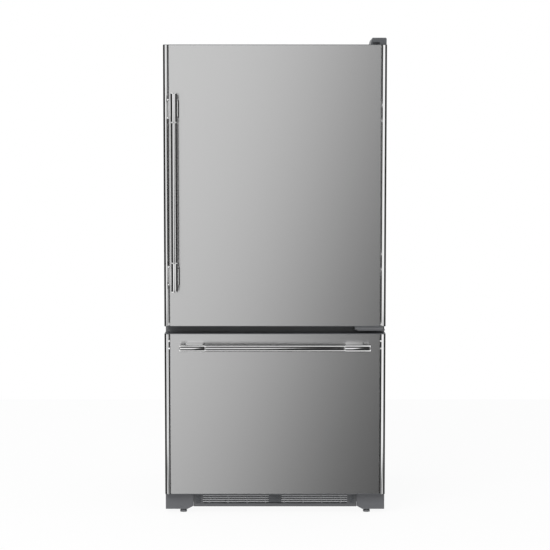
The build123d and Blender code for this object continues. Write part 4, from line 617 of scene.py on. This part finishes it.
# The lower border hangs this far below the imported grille
GRILLE_LIP = 2.6 * MM
GRILLE_SETBACK, GRILLE_ROUNDING, RIB_SETBACK = 2 * MM, 1.6 * MM, 1.2 * MM
NOSE_SETBACK, NOSE_DEPTH, NOSE_ROUNDING = 0.4 * MM, 1.6 * MM, 0.7 * MM
# How far the parts of one moulding run into each other
OVERLAP = 1 * MM
# A louvre's fall as a share of its depth, and the rounding of its nose as a share of its height
LOUVRE_FALL, LOUVRE_ROUNDING = 0.8, 0.3
BLOCK_WIDTH, BLOCK_LOW, BLOCK_HIGH, BLOCK_SETBACK = 48 * MM, 38 * MM, 66 * MM, 0.6 * MM
RIDGE_RISE, RIDGE_ROUNDING, RIDGE_SHARE = 1 * MM, 0.4 * MM, 0.2
CLIP_WIDTH, HOOK_WIDTH, HOOK_DROP, FINE_EDGE = 20 * MM, 20 * MM, 10 * MM, 0.5 * MM


def add_louvre(mesh, start, end, front, low, high, depth):
    """A blade that falls away to the back."""
    middle = Vector(((start + end) / 2, front + depth / 2, (low + high) / 2))
    place = Matrix.Translation(middle) @ Matrix.Diagonal((end - start, depth, high - low, 1))
    made = bmesh.ops.create_cube(mesh, size=1, matrix=place)["verts"]
    bmesh.ops.translate(mesh, verts=[v for v in made if v.co.y > middle.y], vec=(0, 0, -LOUVRE_FALL * depth))
    nose = {e for v in made for e in v.link_edges if all(w.co.y < middle.y for w in e.verts)
            and abs(e.verts[0].co.z - e.verts[1].co.z) < TOLERANCE}
    round_edges(mesh, nose, LOUVRE_ROUNDING * (high - low), 2)


def add_ridged_block(mesh, middle, width, front, back, low, high):
    """A block with three level ridges on its face."""
    half, face = width / 2, front + RIDGE_RISE
    add_box(mesh, (middle - half, face, low), (middle + half, back, high), RIDGE_RISE)
    pitch, half = (high - low) / 4, half - RIDGE_RISE
    for ridge in (1, 2, 3):
        add_box(mesh, (middle - half, front, low + (ridge - RIDGE_SHARE) * pitch),
                (middle + half, face + RIDGE_RISE, low + (ridge + RIDGE_SHARE) * pitch), RIDGE_ROUNDING)


class FRIDGE_OT_grille(bpy.types.Operator):
    """The toe grille: four louvres with noses painted pale as a highlight and bodies painted dark as shade in
    the slots, a ridged middle block and a ridged clip at each end
    """

    bl_idname = "fridge.grille"
    bl_label = "Toe grille"

    def execute(self, context):
        low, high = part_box("toe_grille")
        half, reach = high.x, high.x - GRILLE_END
        front = low.y + GRILLE_SETBACK
        back = front + GRILLE_FACE
        first = SLOT_HEIGHTS[0] - SLOT_OPENING / 2
        last = SLOT_HEIGHTS[-1] + SLOT_OPENING / 2 + BLADE_HEIGHT
        frame_mesh, noses, louvres = bmesh.new(), bmesh.new(), bmesh.new()
        add_box(frame_mesh, (-half, front, low.z - GRILLE_LIP), (half, back, first), GRILLE_ROUNDING, 3)
        add_box(frame_mesh, (-half, front, last), (half, back, high.z), GRILLE_ROUNDING, 3)
        for side in (-1, 1):
            start, end = sorted((side * reach, side * half))
            middle = (start + end) / 2
            add_box(frame_mesh, (start, front + OVERLAP, first - OVERLAP), (end, back, last + OVERLAP))
            add_box(frame_mesh, (middle - HOOK_WIDTH / 2, back - OVERLAP, high.z - HOOK_DROP),
                    (middle + HOOK_WIDTH / 2, high.y, high.z - HOOK_DROP + GRILLE_WALL), FINE_EDGE)
            add_ridged_block(louvres, middle, CLIP_WIDTH, front - RIDGE_RISE, back, first + OVERLAP, last)
        add_ridged_block(louvres, 0, BLOCK_WIDTH, low.y + BLOCK_SETBACK, back, BLOCK_LOW, BLOCK_HIGH)
        for slot in SLOT_HEIGHTS:
            foot, tip = slot + SLOT_OPENING / 2, reach + OVERLAP
            crown, nose = foot + BLADE_HEIGHT, front + NOSE_SETBACK
            add_louvre(louvres, -tip, tip, front + NOSE_DEPTH, foot, crown, GRILLE_FACE - GRILLE_SETBACK)
            add_box(noses, (-tip, nose, foot), (tip, nose + NOSE_DEPTH, crown), NOSE_ROUNDING, 3)
        ribs = int(reach / RIB_PITCH + 0.5)
        for number in range(-ribs, ribs):
            middle = (number + 0.5) * RIB_PITCH
            add_box(frame_mesh, (middle - RIB_WIDTH / 2, front + RIB_SETBACK, first - OVERLAP),
                    (middle + RIB_WIDTH / 2, back, last + OVERLAP), FINE_EDGE)
        finish_piece(frame_mesh, "toe_grille_frame", "cabinet", "grille_plastic", "toe_grille")
        # Painted highlight: the noses are pale so that each louvre shows a bright line.
        nose_highlight_finish = moulded_plastic("moulded_polypropylene_noses", tuple(colours().louvre_nose_highlight), 0.4)
        finish_piece(noses, "toe_grille_noses_highlight", "cabinet", "grille_plastic", finish=nose_highlight_finish)
        # Painted shade: the louvre bodies are dark plastic so that the slots read dark; the blocks and clips
        # share that plastic.
        finish_piece(louvres, "toe_grille_louvres", "cabinet", "dark_plastic")
        return {"FINISHED"}


# ---------------------------------------------------------------- door seals

# The seal's section from its foot in the liner to its flat magnet lip: each step goes in
# from the seal's outer rim by the first value while it rises by the second
SEAL_STEPS = [(a * MM, b * MM) for a, b in (
    (0.01, 4), (3, 0.8), (0.5, 1.4), (-2, 1.3), (-2, 1.2), (0.8, 3.6), (1.2, 1.2), (17.2, 0),
    (1.2, -1.2), (0.8, -3.6), (-2, -1.2), (-2, -1.3), (0.5, -1.4), (3, -0.8), (0.01, -4))]
# A step outwards starts from a ring that goes in by this much
SEAL_LEAST = 0.01 * MM


def add_seal(mesh, low, high):
    """A seal's section led round a mouth with mitred corners."""
    corners = [mesh.verts.new((x, low.y, z)) for x, z in
               ((low.x, low.z), (high.x, low.z), (high.x, high.z), (low.x, high.z))]
    face = bmesh.ops.contextual_create(mesh, geom=corners)["faces"][0]
    face.normal_update()
    if face.normal.y < 0:
        face.normal_flip()
    for inward, rise in SEAL_STEPS:
        bmesh.ops.inset_region(mesh, faces=[face], thickness=max(inward, SEAL_LEAST), depth=rise,
                               use_even_offset=True, use_boundary=True)
        if inward < 0:
            grow = [(1 if v.co.x > 0 else -1, 1 if v.co.z > (low.z + high.z) / 2 else -1) for v in face.verts]
            for vertex, (side, level) in zip(face.verts, grow):
                vertex.co += Vector((-side * inward, 0, -level * inward))
    bmesh.ops.delete(mesh, geom=[face], context="FACES_ONLY")
    rim = [e for e in mesh.edges if len(e.link_faces) == 1]
    bmesh.ops.bridge_loops(mesh, edges=rim)


class FRIDGE_OT_seals(bpy.types.Operator):
    """The two magnetic seals, each with a bellows neck and a flat lip"""

    bl_idname = "fridge.seals"
    bl_label = "Door seals"

    def execute(self, context):
        for body, front in FRONTS:
            low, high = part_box(f"{front}_gasket")
            mesh = bmesh.new()
            add_seal(mesh, low, high)
            finish_piece(mesh, f"{front}_seal", body, "gasket_rubber", f"{front}_gasket")
        return {"FINISHED"}


# ---------------------------------------------------------------- screws

# A screw's flange: how far it goes in and stands out, and its rounding
FLANGE_SINK, FLANGE_RISE, FLANGE_EDGE = 0.4 * MM, 0.9 * MM, 0.3 * MM
# As shares of the head's radius
FLANGE_SHARE, HEAD_DEPTH, HEAD_MIDDLE, HEAD_ROUNDING = 1.5, 0.8, 0.3, 0.14
# How far the side rows stand in from the back panel's sides and ends, and the top row from its ends and top
PANEL_SIDE, PANEL_END, PANEL_MARGIN, PANEL_TOP = 12 * MM, 60 * MM, 120 * MM, 14 * MM
# The same from the machine cover's sides, foot and top
COVER_SIDE, COVER_FOOT, COVER_TOP = 20 * MM, 22 * MM, 20 * MM


def add_screw(mesh, x, y, z, radius):
    """A hexagon head on a thin flange, which looks to the back."""
    place, direction = Vector((x, y, z)), Vector((0, 1, 0))
    add_rod(mesh, place - FLANGE_SINK * direction, place + FLANGE_RISE * direction, FLANGE_SHARE * radius,
            FLANGE_EDGE, 24)
    made = bmesh.ops.create_cone(
        mesh, cap_ends=True, segments=6, radius1=radius, radius2=radius, depth=HEAD_DEPTH * radius,
        matrix=along(direction, place + (FLANGE_RISE + HEAD_MIDDLE * radius) * direction))["verts"]
    top = max(v.co.y for v in made)
    rim = {e for v in made for e in v.link_edges if all(w.co.y > top - TOLERANCE for w in e.verts)}
    round_edges(mesh, rim, HEAD_ROUNDING * radius, 2)


def spaced(start, end, count):
    """Even places from start to end."""
    return [start + (end - start) * i / (count - 1) for i in range(count)]


class FRIDGE_OT_screws(bpy.types.Operator):
    """Hexagon screws that hold the back panel and the machine cover"""

    bl_idname = "fridge.screws"
    bl_label = "Screws"

    def execute(self, context):
        radius = context.scene.fridge_sizes.screw_radius
        low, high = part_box("back_panel")
        mesh = bmesh.new()
        for side in (-1, 1):
            for z in spaced(low.z + PANEL_END, high.z - PANEL_END, 7):
                add_screw(mesh, side * (high.x - PANEL_SIDE), high.y, z, radius)
        for x in spaced(low.x + PANEL_MARGIN, high.x - PANEL_MARGIN, 4):
            add_screw(mesh, x, high.y, high.z - PANEL_TOP, radius)
        low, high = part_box("machine_cover")
        for side in (-1, 1):
            for z in (low.z + COVER_FOOT, high.z - COVER_TOP):
                add_screw(mesh, side * (high.x - COVER_SIDE), high.y, z, radius)
        for x in (low.x / 3, high.x / 3):
            add_screw(mesh, x, high.y, high.z - PANEL_TOP, radius)
        finish_piece(mesh, "back_screws", "cabinet", "galvanised")
        return {"FINISHED"}


# ---------------------------------------------------------------- inside the refrigerator

# Top of the lower of the two strips, and of the lower of the two door bins
LOWER_SHELF, LOWER_BIN = 1190 * MM, 1110 * MM
# How far a strip stands in from the glass's ends, before the shelf's front, behind it and above it
STRIP_INSET, STRIP_FRONT, STRIP_BACK, STRIP_RISE, STRIP_EDGE = 2 * MM, 4 * MM, 8 * MM, 2 * MM, 4 * MM
# How far a rim stands behind a bin's front, before it, below its top and above it
RIM_BACK, RIM_FRONT, RIM_DROP, RIM_RISE, RIM_EDGE = 5 * MM, 2 * MM, 9 * MM, 1 * MM, 3 * MM
# The bulb's radius as a share of the lens's height, and the rest as shares of that radius
BULB_RADIUS, BULB_LENGTH, NECK_START, NECK_END, NECK_RADIUS, NECK_TIP = 0.32, 1.5, 0.9, 2.2, 0.82, 0.6
SOCKET_START, THREAD_RADIUS, THREAD_PITCH, THREAD_WIDTH, THREAD_EDGE = 2.1, 0.68, 0.22, 0.24, 0.08
THREADS = 6
# The ticks begin just outside the dials' rims, and most have this share of the length
TICK_START, TICK_LENGTH, TICK_SHARE, TICK_SPREAD = 17.6 * MM, 4 * MM, 0.6, math.radians(130)
TICK_HALF, TICK_RISE, TICK_EDGE = 0.5 * MM, 0.8 * MM, 0.2 * MM


class FRIDGE_OT_shelf_strips(bpy.types.Operator):
    """A rounded strip along the front of the two upper shelves"""

    bl_idname = "fridge.shelf_strips"
    bl_label = "Shelf strips"

    def execute(self, context):
        height = context.scene.fridge_sizes.shelf_strip
        low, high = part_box("shelf_glass")
        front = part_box("shelf_frames")[0].y
        mesh = bmesh.new()
        for top in (LOWER_SHELF, high.z):
            add_box(mesh, (low.x + STRIP_INSET, front - STRIP_FRONT, top - height),
                    (high.x - STRIP_INSET, front + STRIP_BACK, top + STRIP_RISE), STRIP_EDGE, 4)
        finish_piece(mesh, "shelf_strips", "cabinet", "white_plastic")
        return {"FINISHED"}


class FRIDGE_OT_bin_rims(bpy.types.Operator):
    """A rolled rim along the front of each door bin"""

    bl_idname = "fridge.bin_rims"
    bl_label = "Bin rims"

    def execute(self, context):
        low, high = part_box("door_bins")
        mesh = bmesh.new()
        for top in (LOWER_BIN, high.z):
            add_box(mesh, (low.x, high.y - RIM_BACK, top - RIM_DROP),
                    (high.x, high.y + RIM_FRONT, top + RIM_RISE), RIM_EDGE, 4)
        finish_piece(mesh, "bin_rims", "fridge_door", "white_plastic")
        return {"FINISHED"}


class FRIDGE_OT_bulb(bpy.types.Operator):
    """The lamp bulb behind the lens, in its screw socket"""

    bl_idname = "fridge.bulb"
    bl_label = "Lamp bulb"

    def execute(self, context):
        low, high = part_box("lamp_lens")
        radius = BULB_RADIUS * (high.z - low.z)
        middle = Vector((0, (low.y + high.y) / 2, (low.z + high.z) / 2))
        step = Vector((radius, 0, 0))
        bulb = bmesh.new()
        place = Matrix.Translation(middle) @ Matrix.Diagonal((BULB_LENGTH, 1, 1, 1))
        bmesh.ops.create_uvsphere(bulb, u_segments=32, v_segments=20, radius=radius, matrix=place)
        add_rod(bulb, middle + NECK_START * step, middle + NECK_END * step, NECK_RADIUS * radius,
                segments=32, end_radius=NECK_TIP * radius)
        finish_piece(bulb, "lamp_bulb", "cabinet", "white_plastic")
        socket = bmesh.new()
        for ring in range(THREADS):
            start = middle + (SOCKET_START + THREAD_PITCH * ring) * step
            add_rod(socket, start, start + THREAD_WIDTH * step, THREAD_RADIUS * radius,
                    THREAD_EDGE * radius, 32)
        finish_piece(socket, "lamp_socket", "cabinet", "coil_tube")
        return {"FINISHED"}


class FRIDGE_OT_dial_ticks(bpy.types.Operator):
    """Raised ticks around the two dials"""

    bl_idname = "fridge.dial_ticks"
    bl_label = "Dial ticks"

    def execute(self, context):
        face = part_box("fridge_knob")[1].y
        mesh = bmesh.new()
        for knob in ("fridge_knob", "freezer_knob"):
            low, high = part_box(knob)
            middle = (low + high) / 2
            for number, angle in enumerate(spaced(-TICK_SPREAD, TICK_SPREAD, 9)):
                tick = bmesh.new()
                # The first, middle and last tick are longer
                end = TICK_START + TICK_LENGTH * (1 if number % 4 == 0 else TICK_SHARE)
                add_box(tick, (-TICK_HALF, -TICK_HALF, TICK_START), (TICK_HALF, TICK_RISE, end), TICK_EDGE)
                turn = Matrix.Translation((middle.x, face, middle.z)) @ Matrix.Rotation(angle, 4, "Y")
                bmesh.ops.transform(tick, matrix=turn, verts=tick.verts)
                join(mesh, tick)
        finish_piece(mesh, "dial_ticks", "cabinet", "dark_plastic")
        return {"FINISHED"}


# ---------------------------------------------------------------- studio

# Brightness of the room that mirrors see, left and right of the direction ROOM_EDGE; its edge blends
# over ROOM_BLEND to each side and leans by ROOM_SLANT
ROOM_LEFT, ROOM_RIGHT, ROOM_EDGE, ROOM_BLEND, ROOM_SLANT = 1.04, 0.02, 0.052, 0.085, 0.24
# Its fall towards the floor, its darkest places, the two softboxes, and the lit ceiling and corners
ROOM_RISE, ROOM_DARK = 0.7, 0.04
SOFTBOX_LEFT, SOFTBOX_RIGHT = 1.15, 1.3
CEILING_LIGHT, CORNER_LIGHT = 1.5, 0.75
# Where each part of the room fades in or out, in the direction's x, y or z
LEFT_BOX, RIGHT_BOX, WALLS, CORNERS = (-0.34, -0.26), (0.34, 0.4), (0.62, 0.7), (0.26, 0.4)
STEEP, CEILING, CEILING_FRONT, BACKDROP = (0.28, 0.44), (0.3, 0.5), (-0.35, -0.2), (0.62, 0.76)
# Share of the floor's white that the camera sees without shadow
FLOOR_WHITE = 0.92
FLOOR_HALF = (1.9, 1.7)
FLOOR_MIDDLE = (0, 0.72, -0.5 * MM)
KEY_PLACE, KEY_AIM, KEY_SIZE = (-1.8, -3.6, 3.6), (0, 0, 0.9), 2.6


# The room that mirrors see in the direction x, y, z, row by row: the result's name, the operation and its
# inputs. SMOOTHSTEP goes from its fourth input to its fifth while the first goes from second to third.
ROOM = (
    # The wall behind the camera is bright on the left and dark on the right, and darkens to the floor
    ("lean", "MULTIPLY", "z", ROOM_SLANT),
    ("across", "SUBTRACT", "x", "lean"),
    ("wall", "SMOOTHSTEP", "across", ROOM_EDGE - ROOM_BLEND, ROOM_EDGE + ROOM_BLEND, ROOM_LEFT, ROOM_RIGHT),
    ("below", "MINIMUM", "z", 0),
    ("fall", "MULTIPLY", "below", ROOM_RISE),
    ("wall", "ADD", "wall", "fall"),
    # There is a softbox on each side
    ("right_box", "SMOOTHSTEP", "x", *RIGHT_BOX, 0, SOFTBOX_RIGHT),
    ("left_box", "SMOOTHSTEP", "x", *LEFT_BOX, SOFTBOX_LEFT, 0),
    ("boxes", "MAXIMUM", "right_box", "left_box"),
    ("wall", "MAXIMUM", "wall", "boxes"),
    ("wall", "MAXIMUM", "wall", ROOM_DARK),
    # It darkens towards the side walls, the ceiling and the floor, which draw dark lines on round pieces
    ("wide", "ABSOLUTE", "x"),
    ("high", "ABSOLUTE", "z"),
    ("steep", "SMOOTHSTEP", "high", *STEEP, 0, 1),
    ("flat", "SUBTRACT", 1, "steep"),
    ("inside", "SMOOTHSTEP", "wide", *WALLS, 1, 0),
    ("inside", "MULTIPLY", "inside", "flat"),
    ("room", "MULTIPLY", "wall", "inside"),
    ("room", "MAXIMUM", "room", ROOM_DARK),
    # The ceiling, the floor and the corners are lit
    ("above", "SMOOTHSTEP", "high", *CEILING, 0, 1),
    ("ahead", "SMOOTHSTEP", "y", *CEILING_FRONT, 0, CEILING_LIGHT),
    ("above", "MULTIPLY", "above", "ahead"),
    ("room", "MAXIMUM", "room", "above"),
    ("corner", "SMOOTHSTEP", "wide", *CORNERS, 0, CORNER_LIGHT),
    ("corner", "MULTIPLY", "steep", "corner"),
    ("room", "MAXIMUM", "room", "corner"),
    # Everything behind the object is the white backdrop
    ("backdrop", "SMOOTHSTEP", "y", *BACKDROP, 0, 1),
    ("room", "MAXIMUM", "room", "backdrop"))


def studio_world(strength):
    """Even light all round; mirrors see a room that darkens to the right, and a white backdrop."""
    world = bpy.data.worlds.new("studio")
    world.use_nodes = True
    bpy.context.scene.world = world
    tree = world.node_tree
    tree.nodes.clear()
    place = add_node(tree, "ShaderNodeTexCoord")
    direction = add_node(tree, "ShaderNodeSeparateXYZ", {"Vector": place.outputs["Generated"]})
    values = {name: direction.outputs[name.upper()] for name in "xyz"}
    for name, operation, *inputs in ROOM:
        inputs = {number: values.get(value, value) for number, value in enumerate(inputs)}
        if operation == "SMOOTHSTEP":
            made = add_node(tree, "ShaderNodeMapRange", inputs, interpolation_type=operation)
        else:
            made = add_node(tree, "ShaderNodeMath", inputs, operation=operation)
        values[name] = made.outputs[0]
    rays = add_node(tree, "ShaderNodeLightPath")
    plain, mirrored, white = (
        add_node(tree, "ShaderNodeBackground", {"Color": WHITE, "Strength": light}).outputs[0]
        for light in (strength, values["room"], 1.0))
    metal = add_node(tree, "ShaderNodeMixShader", {0: rays.outputs["Is Glossy Ray"], 1: plain, 2: mirrored})
    clear = add_node(tree, "ShaderNodeMath", {0: rays.outputs["Is Camera Ray"],
                                              1: rays.outputs["Is Transmission Ray"]}, operation="MAXIMUM")
    mixed = add_node(tree, "ShaderNodeMixShader", {0: clear.outputs[0], 1: metal.outputs[0], 2: white})
    add_node(tree, "ShaderNodeOutputWorld", {"Surface": mixed.outputs[0]})


def add_lamp(name, place, aim, size, power):
    """A soft square lamp that mirrors don't see."""
    data = bpy.data.lights.new(name, "AREA")
    data.shape = "SQUARE"
    data.size = size
    data.energy = power
    lamp = bpy.data.objects.new(name, data)
    lamp.location = place
    lamp.rotation_euler = (Vector(aim) - Vector(place)).to_track_quat("-Z", "Y").to_euler()
    lamp.visible_glossy = False
    bpy.context.scene.collection.objects.link(lamp)


def studio_floor():
    """White vinyl sheet: matt, faintly mottled, and nearly as white as the backdrop to the camera."""
    colour = tuple(colours().floor)
    material, tree, shader = new_finish("floor_vinyl", colour, 0.8, ior=1.4)
    shader.inputs["Specular IOR Level"].default_value = 0.1
    vary_colour(tree, shader, pattern(tree, 250 * MM), tone(colour, 1.0), tone(colour, 0.985))
    rays = add_node(tree, "ShaderNodeLightPath")
    share = add_node(tree, "ShaderNodeMath", {0: rays.outputs["Is Camera Ray"], 1: FLOOR_WHITE},
                     operation="MULTIPLY")
    white = add_node(tree, "ShaderNodeEmission", {"Color": WHITE, "Strength": 1.0})
    mixed = add_node(tree, "ShaderNodeMixShader", {0: share.outputs["Value"], 1: shader.outputs[0],
                                                   2: white.outputs[0]})
    tree.links.new(mixed.outputs[0], tree.nodes["Material Output"].inputs["Surface"])
    return material


class FRIDGE_OT_studio(bpy.types.Operator):
    """The pale floor, the soft light and the camera"""

    bl_idname = "fridge.studio"
    bl_label = "Studio"

    def execute(self, context):
        scene = context.scene
        studio = scene.fridge_studio
        scene.view_settings.view_transform = "Standard"
        studio_world(studio.sky)
        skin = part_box("fridge_door_skin")[0].y
        mesh = bmesh.new()
        bmesh.ops.create_grid(mesh, x_segments=8, y_segments=8, size=1)
        bmesh.ops.scale(mesh, vec=(*FLOOR_HALF, 1), verts=mesh.verts)
        bmesh.ops.translate(mesh, vec=FLOOR_MIDDLE, verts=mesh.verts)
        data = bpy.data.meshes.new("studio_floor")
        mesh.to_mesh(data)
        mesh.free()
        data.materials.append(studio_floor())
        floor = bpy.data.objects.new("studio_floor", data)
        floor.visible_glossy = False
        scene.collection.objects.link(floor)
        add_lamp("key_lamp", KEY_PLACE, KEY_AIM, KEY_SIZE, studio.key)
        lens = bpy.data.cameras.new("camera")
        lens.lens = studio.lens
        lens.sensor_width = 36
        lens.clip_end = 60
        camera = bpy.data.objects.new("camera", lens)
        camera.location = (0, skin - studio.distance, studio.height)
        camera.rotation_euler = (math.pi / 2 - studio.tilt, 0, 0)
        scene.collection.objects.link(camera)
        scene.camera = camera
        return {"FINISHED"}


# ---------------------------------------------------------------- panel and registration

class FRIDGE_PT_panel(bpy.types.Panel):
    """Lists the steps that dress the refrigerator"""

    bl_idname = "FRIDGE_PT_panel"
    bl_label = "Refrigerator"
    bl_space_type = "VIEW_3D"
    bl_region_type = "UI"
    bl_category = "Refrigerator"

    def draw(self, context):
        for step in STEPS:
            self.layout.operator(step.bl_idname)


STEPS = (FRIDGE_OT_packed_finishes, FRIDGE_OT_trims, FRIDGE_OT_handles, FRIDGE_OT_hinges,
         FRIDGE_OT_grille, FRIDGE_OT_seals, FRIDGE_OT_screws, FRIDGE_OT_shelf_strips, FRIDGE_OT_bin_rims,
         FRIDGE_OT_bulb, FRIDGE_OT_dial_ticks, FRIDGE_OT_studio)
CLASSES = (FridgeSizes, FridgeFinishes, FridgeStudio, *STEPS, FRIDGE_PT_panel)


def register():
    for cls in CLASSES:
        bpy.utils.register_class(cls)
    bpy.types.Scene.fridge_sizes = PointerProperty(type=FridgeSizes)
    bpy.types.Scene.fridge_finishes = PointerProperty(type=FridgeFinishes)
    bpy.types.Scene.fridge_studio = PointerProperty(type=FridgeStudio)


def unregister():
    del bpy.types.Scene.fridge_sizes
    del bpy.types.Scene.fridge_finishes
    del bpy.types.Scene.fridge_studio
    for cls in reversed(CLASSES):
        bpy.utils.unregister_class(cls)


def main():
    """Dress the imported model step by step."""
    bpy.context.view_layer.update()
    register()
    for step in STEPS:
        group, name = step.bl_idname.split(".")
        getattr(getattr(bpy.ops, group), name)()


if __name__ == "__main__":
    main()
